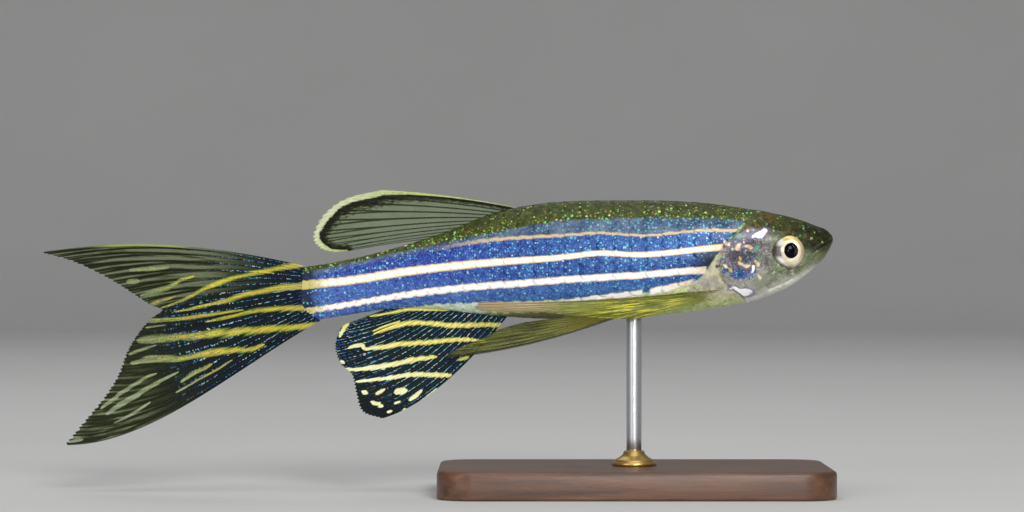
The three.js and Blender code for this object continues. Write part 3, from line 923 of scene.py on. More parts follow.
def relief(points):
    """How far the skin rises over the coat's depth, in mm, added up feature by feature."""
    back, up, out = measured(points)
    gill = back - gill_edge(up)
    cover = 1 - ease(gill, -0.02, 0.06)
    nape = 1 - ease(gill, -0.6, 0.9)
    rise = (COAT - 0.02) * np.where(up > 1.0, nape, cover)
    slit = hill(gill - 0.09, 0.08) * ease(1.0 - up, 0, 0.5) * ease(up, -4.9, -4.4)
    rise = rise - 0.16 * slit
    head = 1 - ease(back, 8.6, 9.2)
    mouth, _ = away_from(MOUTH, back, up)
    above = up - np.interp(back, [p[0] for p in MOUTH], [p[1] for p in MOUTH])
    lips = hill(mouth - 0.16, 0.12) * np.where(above > 0, 0.03, 0.035)
    rise = rise + head * (lips - 0.11 * hill(mouth, 0.06))
    jaw, _ = away_from(JAW, back, up)
    cheek, _ = away_from(CHEEK_EDGE, back, up)
    firm = ease(back, 1.6, 3.2)
    rise = rise + head * (0.03 * firm * hill(jaw - 0.2, 0.16) - 0.04 * (0.4 + firm) * hill(jaw, 0.08))
    rise = rise - head * 0.05 * hill(cheek, 0.1)
    nostril = np.hypot((back - NOSTRIL[0]) / 1.3, up - NOSTRIL[1])
    rise = rise + 0.02 * hill(nostril - 0.15, 0.06) - 0.14 * hill(nostril, 0.08)
    eye = np.hypot(back - EYE["back"], up - EYE["up"])
    side = np.abs(out) > 0.5
    socket = 1 - ease(eye, EYE["opening"] - 0.1, EYE["opening"])
    rim = 0.04 * hill(eye - EYE["opening"] - 0.07, 0.07)
    return rise + np.where(side, rim - 0.62 * socket, 0)


# %% The skin
def skin_rows():
    """Places along the body: 0.034 mm apart up to 8.5 mm, widening to 0.2 mm from 12 mm on."""
    places = [0.006]
    while places[-1] < 38.4:
        places.append(places[-1] + float(np.interp(places[-1], [8.5, 12.0], [0.034, 0.2])))
    return np.array(places)


def make_skin(columns=232):
    """The body's surface grown by relief - COAT. Its markings are read on the flat surface."""
    rows, shares = skin_rows()[:, None], np.arange(columns)[None] / columns
    flat = surface(rows, shares, 0.0)
    points = tube(surface(rows, shares, relief(flat) - COAT))
    faces, uvs = tube_faces(len(rows), columns)
    flesh = ["head", "lower_jaw", "trunk", "tail", "gill_cover_right", "gill_cover_left"]
    return piece("skin", points, faces, uvs, SKIN, flesh, markings(tube(flat)))


make_skin()

# %% [markdown]
# Scales are thin plates set in the skin like tiles: the front edge sunk, the rounded rear edge
# free, each row covering half of the next and shifted by half a scale. A plate is a square grid
# pressed into a disc, a little domed, with an underside and a rim, so it is a closed solid. Their
# size follows the girth, so they shrink towards the tail, and the head stays bare, as on the
# living fish. For baking, each plate has the cell of its own root on the unwrapped skin.

# %% The scales
#   Scales round the body, points along a plate's side, and a plate's shape in mm. Long and wide
#   are in units of the pitch and of a scale's share of the girth.
AROUND = 26
PLATE = 9
SCALE = dict(long=0.86, wide=0.61, sunk=0.025, rise=0.046, dome=0.01, thick=0.028, uneven=0.004)
LAST_PLACE = 38.35


def pitch(back):
    """From one row of scales to the next: 0.33 mm plus 3.8 % of the girth."""
    return 0.33 + 0.038 * girth(back)


def scale_rows():
    """Where the rows of scales sit, each a pitch behind the one before."""
    places = np.linspace(5.0, 38.0, 1000)
    count = np.concatenate([[0], np.cumsum(np.diff(places) / pitch(places[:-1]))])
    return np.interp(np.arange(int(count[-1]) + 1), count, places)


def make_scales(word, first):
    """
    Half the scales of every row, from the first one of a side. A point (x, y) of a plate, from
    -1 to 1 each, is pressed into a disc as x sqrt(1 - y y / 2) and y sqrt(1 - x x / 2). It lies at
    the height rise (y + 1) / 2 - dome x x over the plate's sunk front edge.
    """
    rows = scale_rows()
    row, column = np.meshgrid(np.arange(len(rows)), first + np.arange(AROUND // 2), indexing="ij")
    row, column = row.ravel(), column.ravel()
    back = rows[row]
    share = (column + 0.25 + 0.5 * (row % 2)) / AROUND
    root = surface(back, share, 0.0)
    _, up, _ = measured(root)
    bare = back - gill_edge(up) < np.where(up > 1.3, 0.2, 0.42)
    row, column = row[~bare], column[~bare]
    back, share = (value[~bare][:, None, None] for value in (back, share))
    across, along = np.meshgrid(np.linspace(-1, 1, PLATE), np.linspace(-1, 1, PLATE))
    disc_x = across * np.sqrt(1 - along**2 / 2)
    disc_y = along * np.sqrt(1 - across**2 / 2)
    back = np.minimum(back + disc_y * SCALE["long"] * pitch(back), LAST_PLACE)
    share = share + disc_x * SCALE["wide"] / AROUND
    rng = np.random.default_rng(7 + first)
    lift = rng.uniform(-SCALE["uneven"], SCALE["uneven"], len(back))[:, None, None] - COAT
    height = lift - SCALE["sunk"] + (disc_y + 1) / 2 * SCALE["rise"] - SCALE["dome"] * disc_x**2
    sides = [surface(back, share, height - down) for down in (0, SCALE["thick"])]
    points = np.stack(sides, axis=1)
    faces, uvs = sheet_faces(PLATE, PLATE)
    size = 2 * PLATE * PLATE
    shift = (np.arange(len(back)) * size)[:, None, None]
    faces = [(f[None] + shift).reshape(-1, f.shape[1]) for f in faces]
    cell = np.stack([(column - first) / (AROUND / 2), row / len(rows)], axis=1)
    cell_size = np.array([0.94 / (AROUND / 2), 0.94 / len(rows)])
    uvs = [cell[:, None, None] + uv[None] * cell_size for uv in uvs]
    marks = markings(points.reshape(-1, 3))
    return piece(f"scales_{word}", points, faces, uvs, SKIN, (), marks)


make_scales("right", 0)
make_scales("left", AROUND // 2)

# %% [markdown]
# A fin is a fan of bony rays with a skin between them. Each ray starts as one rod and forks twice
# on its way to the margin. The sheet's thickness draws them: a sum of small hills across the fin,
# whose middles drift apart where a ray forks. The outline comes from a curve of roots and a curve
# of tips, as in the solid model, with a little notch between each two rays at the margin.

# %% The fins' outlines
#   Root and margin are (back, up, out) points from the leading ray on. Bow is the arch's height
#   in mm at the first and the last ray, lean how far it leans, and flare how far it stands out.
FINS = {
    "dorsal_fin": dict(
        root=[(21.8, 1.9, 0), (24.6, 1.2, 0), (27.6, -0.1, 0)],
        margin=[(32.4, 3.36, 0), (34.9, 2.75, 0), (36.5, 1.6, 0), (37.25, 0.15, 0),
                (36.9, -0.7, 0), (35.9, -1.07, 0), (34.6, -1.0, 0)],
        bow=(0.25, 0.1), lean=(0, 0), rays=11, fork=0.55,
    ),
    "anal_fin": dict(
        root=[(23.0, -5.3, 0), (27.2, -4.95, 0), (30.9, -4.75, 0)],
        margin=[(32.3, -13.0, 0), (33.7, -12.5, 0), (34.15, -11.2, 0), (34.45, -9.9, 0),
                (35.25, -9.1, 0), (35.65, -8.0, 0), (35.5, -7.0, 0), (35.1, -6.35, 0),
                (34.4, -6.05, 0)],
        bow=(-1.15, 0), lean=(0.1, 0), rays=22, fork=0.6,
    ),
    "caudal_fin": dict(
        root=[(37.9, -2.05, 0), (38.0, -3.45, 0), (37.95, -4.9, 0), (36.7, -6.0, 0)],
        margin=[(56.9, -1.11, 0), (54.6, -1.75, 0.1), (52.2, -2.85, 0.2), (50.4, -3.95, 0.2),
                (49.0, -4.85, 0.1), (48.15, -5.25, 0), (49.05, -5.95, -0.1), (50.0, -7.1, -0.2),
                (50.7, -8.3, -0.2), (51.3, -9.9, -0.1), (52.3, -11.5, 0), (53.7, -13.2, 0.1),
                (55.15, -14.95, 0.2)],
        bow=(0.98, -1.32), lean=(0.1, 0.75), rays=19, fork=0.3,
    ),
    "pectoral_fin": dict(
        root=[(8.3, -3.7, 1.6), (8.55, -4.45, 1.3)],
        margin=[(25.4, -4.6, 2.7), (25.2, -5.2, 2.65), (20.8, -5.35, 2.75), (16.8, -5.75, 2.6),
                (13.9, -5.75, 2.3)],
        bow=(-0.3, 0), lean=(0, 0), flare=0.5, rays=11, fork=0.4,
    ),
    "pelvic_fin": dict(
        root=[(15.1, -5.55, 1.15), (16.7, -5.6, 0.8)],
        margin=[(27.9, -8.65, 1.5), (27.1, -8.05, 1.35), (25.1, -7.2, 1.15), (23.8, -6.6, 1.0),
                (22.2, -6.15, 0.95)],
        bow=(-0.5, 0.1), lean=(0, 0), rays=8, fork=0.4,
    ),
}


def fan(points, ray):
    """A smooth curve through points, read at shares from 0, the first one, to 1, the last."""
    points = np.array(points, float)
    at = np.linspace(0, 1, len(points))
    return np.stack([through(at, points[:, axis])(ray) for axis in range(3)], axis=-1)


def on_fin(fin, side, ray, along):
    """
    A fin's middle surface: from root to tip along each ray, plus an arch 4 t (1 - t) that leans
    towards the tip. Ray runs from 0, the leading ray, to 1, and along from 0, the root, to 1.
    """
    spot = fan(fin["root"], ray) * (1 - along)[..., None]
    spot = spot + fan(fin["margin"], ray) * along[..., None]
    bow, lean = (ends[0] + (ends[1] - ends[0]) * ray for ends in (fin["bow"], fin["lean"]))
    arch = 4 * along * (1 - along)
    up = spot[..., 1] + bow * arch * (1 + lean * (2 * along - 1))
    out = spot[..., 2] + arch * fin.get("flare", 0)
    return place(spot[..., 0], up, side * out)


def rays(fin, ray, along):
    """
    The rays' height from 0 to 1. In each ray's strip, the distance to the nearest branch: one
    branch in the middle up to the fork, then two, then four, drifting evenly apart.
    """
    across = (ray * fin["rays"]) % 1 - 0.5
    first = 0.25 * ease(along, fin["fork"], 1.0)
    second = 0.125 * ease(along, fin["fork"] + 0.3, 1.15)
    branch = np.abs(np.abs(np.abs(across) - first) - second)
    strip = 0.13 - 0.07 * along
    return hill(branch, strip)


# %% The fins' markings
#   Each gap between the dark bands: a course of (back, up) points, and its half width at both
#   ends, in mm
TAIL_GAPS = [
    ([(47.59, -2.18), (49.09, -2.33), (50.45, -2.36)], 0.12, 0.16),
    ([(49.74, -3.15), (50.6, -3.22)], 0.2, 0.2),
    ([(45.73, -2.79), (46.73, -3.11), (47.52, -3.58), (48.52, -3.89), (49.63, -4.2)], 0.12, 0.24),
    ([(36.9, -1.95), (38.43, -2.04), (39.79, -2.27), (40.86, -2.5), (42.79, -2.9), (44.15, -3.36),
      (45.3, -3.86), (46.3, -4.4), (47.37, -4.82), (48.16, -5.08)], 0.26, 0.1),
    ([(47.02, -4.22), (47.95, -4.51), (49.02, -4.87)], 0.06, 0.17),
    ([(35.5, -3.22), (37.43, -3.44), (39.43, -3.65), (41.65, -4.02), (43.44, -4.53), (44.94, -4.9),
      (46.37, -5.22), (47.3, -5.37)], 0.3, 0.07),
    ([(35.9, -5.0), (37.93, -5.08), (39.43, -5.12), (41.29, -5.3), (42.72, -5.62), (43.8, -5.85),
      (44.94, -6.08)], 0.26, 0.1),
    ([(42.22, -5.22), (43.44, -5.4), (44.91, -5.62), (46.37, -5.83), (47.8, -5.94), (48.95, -5.99),
      (49.59, -6.01)], 0.1, 0.2),
    ([(35.2, -6.1), (36.57, -6.26), (38.36, -6.43), (40.36, -6.58), (42.08, -6.73), (43.8, -6.91),
      (45.3, -7.05), (47.37, -7.23), (48.95, -7.35), (49.88, -7.39)], 0.24, 0.33),
    ([(47.8, -6.3), (48.88, -6.44), (49.31, -6.51)], 0.05, 0.1),
    ([(40.72, -7.69), (41.58, -8.02), (42.79, -8.12), (43.9, -8.22), (44.94, -8.37), (46.44, -8.64),
      (48.38, -8.79), (49.38, -8.87), (50.31, -9.05)], 0.22, 0.27),
    ([(48.52, -7.76), (49.59, -8.09), (50.52, -8.44)], 0.08, 0.14),
    ([(46.87, -9.66), (47.73, -10.09), (48.66, -10.59), (49.66, -11.19), (51.17, -12.09),
      (52.1, -12.72)], 0.1, 0.2),
    ([(48.45, -9.77), (49.16, -10.05), (50.09, -10.59), (50.92, -11.13), (51.74, -11.74),
      (52.53, -12.34)], 0.1, 0.17),
    ([(44.44, -9.09), (45.01, -9.45), (45.94, -9.88), (46.73, -10.41)], 0.12, 0.16),
    ([(43.01, -8.8), (43.72, -9.27), (44.51, -9.73), (45.44, -10.23), (46.09, -10.62),
      (47.09, -11.16)], 0.06, 0.1),
    ([(48.88, -11.81), (50.31, -12.74), (51.6, -13.38)], 0.1, 0.06),
    ([(53.74, -14.53), (54.89, -14.74)], 0.1, 0.08),
]
ANAL_GAPS = [
    ([(23.4, -6.32), (24.73, -6.28), (27.34, -6.32), (28.63, -6.19), (29.93, -6.14), (30.79, -6.26),
      (31.85, -6.55), (32.88, -6.94)], 0.22, 0.14),
    ([(30.99, -6.05), (32.06, -6.37), (32.95, -6.76)], 0.1, 0.08),
    ([(24.62, -7.51), (26.48, -7.33), (29.05, -7.54), (30.77, -7.66), (32.27, -7.87),
      (33.56, -8.04)], 0.16, 0.2),
    ([(33.63, -8.02), (33.63, -7.62)], 0.15, 0.12),
    ([(33.63, -7.73), (34.28, -7.79), (34.74, -7.98)], 0.2, 0.06),
    ([(28.34, -8.56), (29.77, -8.74), (30.79, -8.96), (32.53, -9.3), (33.74, -9.45),
      (34.92, -9.48)], 0.2, 0.15),
    ([(26.05, -8.57), (26.84, -8.83)], 0.14, 0.1),
    ([(27.34, -9.88), (28.2, -9.88), (29.41, -9.83), (30.45, -9.88), (32.1, -10.13),
      (34.14, -10.36)], 0.22, 0.13),
    ([(33.71, -11.06), (33.31, -11.2)], 0.16, 0.16),
    ([(32.74, -11.24), (32.06, -10.88)], 0.14, 0.14),
    ([(31.38, -11.13), (30.49, -10.95)], 0.18, 0.2),
    ([(30.34, -11.7), (29.91, -11.38), (29.41, -10.95)], 0.13, 0.15),
    ([(29.7, -11.88), (28.84, -11.27), (28.34, -10.84)], 0.07, 0.08),
    ([(33.06, -11.81), (32.63, -11.95), (32.2, -12.13)], 0.15, 0.17),
    ([(31.42, -11.92), (30.92, -11.77)], 0.09, 0.08),
    ([(31.92, -12.52), (31.56, -12.45)], 0.12, 0.12),
    ([(30.84, -12.49), (30.56, -12.24)], 0.07, 0.07),
    ([(35.28, -8.84), (34.96, -9.05)], 0.12, 0.1),
    ([(34.64, -6.05), (35.07, -6.66), (35.32, -7.16)], 0.17, 0.12),
    ([(27.41, -5.22), (29.05, -5.19), (30.49, -5.19), (31.7, -5.44), (33.13, -5.69)], 0.12, 0.1),
]


def gap_field(gaps, back, up):
    """The distance to the nearest gap's middle, where 1 is its edge. Gaps narrow at both ends."""
    best = np.full(back.shape, FAR)
    for course, first, last in gaps:
        distance, along = away_from(course, back, up)
        narrow = 0.3 + 0.7 * (4 * along * (1 - along)) ** 0.4
        best = np.minimum(best, distance / ((first + (last - first) * along) * narrow))
    return best


GAPS = {"caudal_fin": TAIL_GAPS, "anal_fin": ANAL_GAPS}
print("Gaps and spots on the fins:", {name: len(gaps) for name, gaps in GAPS.items()})

# %% [markdown]
# Fin membrane is clear skin, dusted with pigment. It lets light through, so its alpha is low
# between the rays and near 1 on them. On the tail and anal fins, dark pigment fills bands, and
# the gaps between them hold grains of yellow near the body and stay clear further out. Along the
# rays run rows of cyan dashes. Noise that is stretched along the rays frays every edge.

# %% The fins' workbench
class FinShade(Shade):
    """A fin's workbench: the fields along and across the rays, and noise that follows them."""

    def __init__(self, name):
        super().__init__(name, {
            "Roughness": 0.46, "Coat Weight": 0.05, "Coat Roughness": 0.2, "Specular IOR Level": 0.1,
        })
        spot = self.millimetres()
        names = ("ray", "reach", "ridge", "gap", "rim", "band")
        self.ray, self.reach, self.ridge, self.gap, self.rim, self.band = map(self.number, names)
        self.fine = self.noise(spot, 8.0, 3.0) - 0.5
        self.broad = self.noise(spot, 0.8) - 0.5
        self.streak = self.along_rays(2.0, 0.9, 3.0, 3.0)

    def lanes(self, across, along, shift=0.0):
        """A place on the fin by its ray and its reach, each stretched by a number."""
        return self.node("ShaderNodeCombineXYZ", None, [across, self.reach * along, shift])

    def along_rays(self, across, along, scale, detail):
        """Noise round 0 that is drawn out along the rays."""
        return self.noise(self.lanes(self.ray * across, along), scale, detail) - 0.5

    def dashes(self, until, sparse):
        """Short strokes on the rays: noise that differs from ray to ray and runs along each."""
        lane = (self.ray * 2.0).whole()
        mask = self.noise(self.lanes(lane * 3.7, 5.5), 1.0, 1.0).above(sparse, 0.05)
        tone = self.ramp(self.noise(self.lanes(lane * 1.9, 1.7, 5.0), 1.0, 1.0), [
            (0.34, (52, 76, 196)), (0.45, (80, 156, 224)), (0.54, (128, 220, 216)),
            (0.62, (236, 246, 252)),
        ])
        return mask * self.ridge.above(0.55, 0.3) * self.reach.below(until, 2.5), tone

    def done(self, colour, alpha):
        self.feed({"Base Color": colour, "Alpha": alpha})
        self.bump(self.streak * 0.5 + self.fine * 0.3, 0.02)
        return self.material


# %% [markdown]
# The tail fin is ink near the body and smoke further out, and its two lobes thin to a veil in
# which only the rays stay dark. A gap is painted last: its grains of yellow, its rust and its
# hairs, then the clear skin between the grains, and all of it only inside the gap's frayed edge.

# %% The tail fin's material
def tail_look():
    s = FinShade("striped_tail_fin")
    upper = s.ray.below(6.8, 1.6)
    far = s.reach.above(11.0 - upper * 5.0, 4.0)
    bold = s.ridge.above(0.25, 0.3)
    thin = s.along_rays(1.5, 0.2, 1.7, 3.0) + s.ridge * 0.25
    lobes = s.reach.above(13.5 - upper * 8.5, 3.0) * thin.below(upper * 0.08, 0.12)
    ink = s.mix(0.5 + s.streak, (4, 9, 16), (14, 26, 30))
    smoke = s.mix(0.5 + s.streak * 1.6, (14, 16, 6), (50, 56, 24))
    lit, dash_tone = s.dashes(9.0 - 3.6 * upper, 0.56)
    dark = s.paint(
        s.mix(far, ink, smoke),
        (s.ridge * far * 0.5, (18, 20, 8)),
        (lobes * 0.8, (104, 116, 70)),
        (bold * upper * far * 0.75, (18, 22, 8)),
        ((s.reach + s.streak * 1.5).below(0.9, 0.9) * 0.8, (12, 18, 42)),
        (lit * 0.85, dash_tone),
    )
    wander = s.gap + s.along_rays(0.7, 0.12, 3.2, 2.0) * 2.0
    inside = (wander + s.fine * 0.6).below(1.0, 0.26)
    core = (wander + s.streak * 1.6 + s.fine * 0.8).below(0.62, 0.4)
    grain = (0.62 - s.reach * 0.05 + s.streak * 0.9 + s.fine * 0.8).above(0.16, 0.16)
    rusty = (s.streak + s.fine * 0.6 + s.broad * 0.5).above(0.12, 0.06)
    hairs = s.along_rays(2.6, 0.25, 3.0, 2.0).above(0.12, 0.05)
    yellow = s.paint(
        s.mix(0.5 + s.streak * 2.2 + s.fine, (156, 150, 36), (238, 224, 92)),
        (rusty * 0.65, (222, 140, 50)),
        (hairs * 0.6, (64, 72, 22)),
        (1 - core, (104, 122, 44)),
        (s.reach.below(1.2, 1.0) * 0.6, (188, 178, 92)),
    )
    clear = s.mix(s.ridge, (136, 154, 98), (100, 112, 60))
    edging = s.ray.below(0.3, 0.15) * abs(s.reach - 11.5).below(3.0, 1.2)
    colour = s.paint(
        dark,
        (inside, s.mix(grain, clear, yellow)),
        (edging * 0.8, (176, 190, 84)),
    )
    solid = 0.97 - 0.5 * lobes * (1 - bold * 0.7)
    hollow = 0.4 + 0.42 * grain + 0.14 * s.ridge
    return s.done(colour, solid + (hollow - solid) * inside)


# %% [markdown]
# The anal fin has the same bands and gaps, with gaps of a purer yellow and longer cyan dashes. The
# dorsal fin is a green veil with dark rays, a dark band and a pale rim. The paired fins have no
# bands: the pectorals are gold with cream tips, and the pelvics olive.

# %% The other fins' materials
def anal_look():
    s = FinShade("striped_anal_fin")
    lit, dash_tone = s.dashes(8.5, 0.5)
    comb = s.along_rays(1.0, 0.1, 3.0, 1.0) * 1.6
    dark = s.mix(0.5 + s.streak * 1.4, (3, 8, 12), (16, 30, 34))
    dark = s.mix(lit * 0.9, dark, dash_tone)
    inside = (s.gap + s.streak * 1.1 + s.fine * 0.5 + comb).below(1.0, 0.2)
    core = (s.gap + s.streak * 1.6 + comb).below(0.65, 0.4)
    yellow = s.paint(
        s.mix(0.5 + s.streak * 1.8 + s.fine, (214, 196, 70), (252, 246, 170)),
        (s.ridge * 0.3, (200, 150, 56)),
        (1 - core, (176, 178, 72)),
        (s.reach.above(6.0, 2.0) * 0.7, (238, 240, 196)),
    )
    return s.done(s.mix(inside, dark, yellow), 0.92 + 0.08 * inside.most(s.ridge))


def dorsal_look():
    s = FinShade("rimmed_dorsal_fin")
    lines = s.ridge.above(0.3, 0.3)
    band = (s.band + s.streak * 2.4).below(1.0, 0.5)
    rim = (s.rim + s.streak * 0.7 + s.fine * 0.4).below(1.0, 0.14)
    pale = s.mix(0.5 + s.streak * 2.2 + s.fine, (124, 144, 54), (206, 212, 146))
    pale = s.mix((s.reach + s.broad).above(10.4, 2.0) * 0.5, pale, (214, 218, 196))
    spark = (s.fine * 1.6 + s.streak * 0.6).above(0.3, 0.08) * (s.reach + s.streak).below(1.0, 0.6)
    colour = s.paint(
        s.mix(0.5 + s.streak + s.broad, (62, 84, 34), (112, 134, 70)),
        (lines * 0.9, (30, 30, 9)),
        (band, (20, 20, 6)),
        (rim, pale),
        (spark * 0.8, (206, 200, 84)),
    )
    return s.done(colour, 0.3 + 0.66 * lines.most(band).most(rim))


def pectoral_look():
    s = FinShade("golden_pectoral_fin")
    bands = s.along_rays(0.7, 0.22, 2.4, 3.0)
    glow = (bands * 1.6 + s.streak * 0.5).above(0.1, 0.12) * abs(s.reach - 5.8).below(2.8, 2.2)
    leading = (s.ray + s.streak).below(1.1, 0.6) * s.reach.below(13.0, 3.0)
    tip = (s.reach + s.streak * 3.0).above(11.8, 2.4)
    colour = s.paint(
        s.mix(0.5 + bands * 2.4 + s.streak, (80, 90, 22), (190, 194, 84)),
        (glow * 0.9, (246, 236, 92)),
        (s.ridge * 0.5, (84, 84, 28)),
        (leading * 0.85, (50, 46, 18)),
        (tip * 0.8, s.mix(s.ridge.above(0.35, 0.4), (238, 216, 184), (112, 76, 48))),
    )
    rooted = (s.reach + s.streak).above(0.7, 0.7).most(leading * 0.8)
    return s.done(colour, (0.42 + 0.3 * s.ridge + 0.2 * glow + 0.12 * tip) * rooted)


def pelvic_look():
    s = FinShade("olive_pelvic_fin")
    bands = s.along_rays(0.8, 0.2, 2.4, 3.0)
    colour = s.paint(
        s.mix(0.5 + bands * 2.4 + s.streak * 1.4, (54, 62, 16), (150, 152, 72)),
        (s.reach.below(3.5, 2.5) * 0.65, (190, 180, 66)),
        (s.ridge * 0.75, (32, 34, 10)),
        ((s.ray + s.streak).below(0.7, 0.5) * 0.85, (28, 26, 8)),
    )
    return s.done(colour, 0.4 + 0.4 * s.ridge)


FIN_LOOKS = {
    "dorsal_fin": dorsal_look(),
    "anal_fin": anal_look(),
    "caudal_fin": tail_look(),
    "pectoral_fin": pectoral_look(),
    "pelvic_fin": pelvic_look(),
}
print("Fin materials:", ", ".join(look.name for look in FIN_LOOKS.values()))


# %% The dorsal fin's rim
#   How far along the free edge, from 0 to 1, and how wide the pale rim is there in mm
RIM = [(0.0, 0.02), (0.08, 0.04), (0.25, 0.1), (0.38, 0.2), (0.5, 0.4), (0.8, 0.4), (0.95, 0.18),
       (1.0, 0.1)]


def rim_fields(middle):
    """
    The distances to the fin's free edge: in units of the pale rim's width there, which the RIM
    table gives along the edge, and past it in units of the dark band's width.
    """
    back, up, _ = measured(middle)
    edge = [np.concatenate([values[0, ::6], values[::8, -1]]) for values in (back, up)]
    distance, along = away_from(np.transpose(edge), back, up)
    width = np.interp(along, *np.transpose(RIM))
    return distance / width, (distance - width) / (0.22 + width)


# %% The fins
SHEET = 0.018
RIDGE_AT_ROOT, RIDGE_AT_MARGIN = 0.075, 0.03
ROOT_SWELL = 0.12
THICKEST_RIM = 0.05
NOTCH = 0.012


def make_fin(name, side, node_names, ending="", across=200, along=130):
    """
    A sheet round the middle surface. Half its thickness is SHEET, plus the ridge of a ray, which
    sinks from root to margin, plus ROOT_SWELL (1 - reach) ** 4 where the fin leaves the body.
    """
    fin = FINS[name]
    ray, reach = np.meshgrid(np.linspace(0, 1, across), np.linspace(0, 1, along), indexing="ij")
    ridge = rays(fin, ray, reach)
    notched = 1 - NOTCH * (1 - rays(fin, ray, np.ones_like(reach)))
    middle = on_fin(fin, side, ray, reach * notched)
    normal = np.cross(*np.gradient(middle, axis=(0, 1)))
    normal /= np.linalg.norm(normal, axis=-1, keepdims=True) + 1e-12
    ridge_height = RIDGE_AT_ROOT + (RIDGE_AT_MARGIN - RIDGE_AT_ROOT) * reach
    half = SHEET + ROOT_SWELL * (1 - reach) ** 4 + ridge * ridge_height
    half[[0, -1]] = np.minimum(half[[0, -1]], THICKEST_RIM)
    points = [middle + normal * half[..., None], middle - normal * half[..., None]]
    back, up, _ = measured(middle)
    length = np.linalg.norm(middle[:, -1] - middle[:, 0], axis=-1)
    marks = {
        "ray": ray * fin["rays"],
        "reach": reach * length[:, None],
        "ridge": ridge,
        "gap": gap_field(GAPS.get(name, []), back, up),
    }
    if name == "dorsal_fin":
        marks["rim"], marks["band"] = rim_fields(middle)
    marks = {key: np.tile(value.ravel(), 2) for key, value in marks.items()}
    faces, uvs = sheet_faces(across, along)
    look = FIN_LOOKS[name]
    return piece(name + "_rays" + ending, points, faces, uvs, look, node_names, marks)


make_fin("dorsal_fin", 1, ["dorsal_fin"])
make_fin("anal_fin", 1, ["anal_fin"], across=340, along=105)
tail_lobes = ["caudal_fin_upper_lobe", "caudal_fin_lower_lobe"]
make_fin("caudal_fin", 1, tail_lobes, across=340, along=140)
for word, side in (("right", 1), ("left", -1)):
    for name in ("pectoral_fin", "pelvic_fin"):
        make_fin(name, side, [f"{name}_{word}"], f"_{word}", across=230, along=72)

# %% [markdown]
# The eye is a ball flattened sideways, whose face bulges a little over the lens. Its iris is silver
# with gold at the top. The black pupil sits forward of the ball's middle, as the fish looks ahead.
# A clear wet film covers the iris. It is the shader's clear coat, so that the eye stays one closed
# piece and its glints come from the lamps, save two white patches on the rear of the iris, which
# are painted glints.

# %% The eyes' material
PUPIL = dict(back=-0.24, up=0.1, radius=0.55)


def eye_material(word):
    """Rings round the pupil by the distance from it, and tones by the side they lie on."""
    s = Shade(f"eye_{word}_look", {"Coat Roughness": 0.02, "Specular IOR Level": 0.05})
    spot = s.millimetres()
    x, _, z = s.axes(spot)
    forward = x - (SNOUT_X - EYE["back"] - PUPIL["back"])
    height = z - (SNOUT_Z + EYE["up"] + PUPIL["up"])
    away = (forward * forward * 1.25 + height * height) ** 0.5
    fine = s.noise(spot, 9.0, 3.0) - 0.5
    patch = s.noise(spot, 2.4) - 0.5
    rear = (forward + patch * 0.5 + fine * 0.3).below(-0.5, 0.22) * 0.85
    # painted glints: bands above and below the pupil's height on the rear of the eye
    eye_glint = abs(abs(height + 0.05) - 0.66).below(0.24, 0.14)
    amber = abs(away - 0.86).below(0.05, 0.05) * (height + forward).above(0.1, 0.4)
    pupil = away.below(0.56, 0.02)
    colour = s.paint(
        s.ramp(0.5 + patch * 1.2 + fine * 0.7, [
            (0.1, (168, 160, 136)), (0.45, (216, 206, 176)), (0.8, (252, 246, 228)),
        ]),
        ((height + patch * 0.4).above(0.55, 0.22) * 0.75, (218, 192, 96)),  # gold at the top
        ((forward + patch * 0.4 + fine * 0.2).above(0.72, 0.2) * 0.6, (176, 156, 96)),
        (rear * (1 - eye_glint), (112, 104, 112)),
        # painted glints: white on the rear of the eye
        (rear * eye_glint, (255, 252, 250)),
        (abs(away - 0.68).below(0.12, 0.06) * 0.9, (255, 242, 210)),  # the ring round the pupil
        (amber * 0.5, (216, 160, 84)),
        ((away + patch * 0.1).above(1.16, 0.12) * 0.75, (70, 68, 46)),  # the ball's outer edge
        (pupil, (3, 4, 14)),
    )
    s.feed({
        "Base Color": colour,
        "Roughness": 0.3 - 0.2 * pupil,
        "Metallic": 0.35 - 0.35 * pupil,
        "Coat Weight": 0.8 - 0.72 * pupil,
    })
    s.bump(fine, 0.01)
    return s.material


# %% The eyes
DOME, DIP = 0.07, 0.05


def make_eye(word, side, rings=72, columns=96):
    """
    An ellipsoid by angle from its outward pole, turned a little forward. On its face, a dome of
    height DOME stands out a little behind the middle, and a ring round the dome dips by DIP.
    """
    polar = np.linspace(0.02, np.pi - 0.02, rings)[:, None]
    turn = np.linspace(0, 2 * np.pi, columns, endpoint=False)[None]
    face = np.sin(polar) * EYE["radius"]
    behind, height = face * np.cos(turn), face * np.sin(turn)
    outward = np.cos(polar) * EYE["depth"] + 0 * turn
    away = np.hypot(behind + PUPIL["back"], height - PUPIL["up"])
    dome = DOME * (1 - ease(away, 0.0, PUPIL["radius"] + 0.02))
    outward = outward + np.where(outward > 0, dome - DIP * hill(away - 0.68, 0.13), 0)
    cosine, sine = np.cos(EYE["forward"]), np.sin(EYE["forward"])
    back = EYE["back"] + behind * cosine - outward * sine
    out = EYE["out"] + outward * cosine - behind * sine
    points = place(back, EYE["up"] + height, side * out)
    faces, uvs = tube_faces(rings, columns)
    name = f"eye_ball_{word}"
    return piece(name, tube(points), faces, uvs, eye_material(word), [f"eye_{word}"])


make_eye("right", 1)
make_eye("left", -1)

# %% [markdown]
# Two fine feelers, the barbels, hang from the corners of the mouth and lie back along the cheek.
# Each is a tapering tube along a gentle curve.

# %% The barbels
BARBEL_COURSE = [(1.2, -1.0, 1.33), (1.75, -1.5, 1.72), (2.3, -2.05, 1.9), (2.75, -2.4, 1.98)]
BARBEL_RADIUS = 0.1


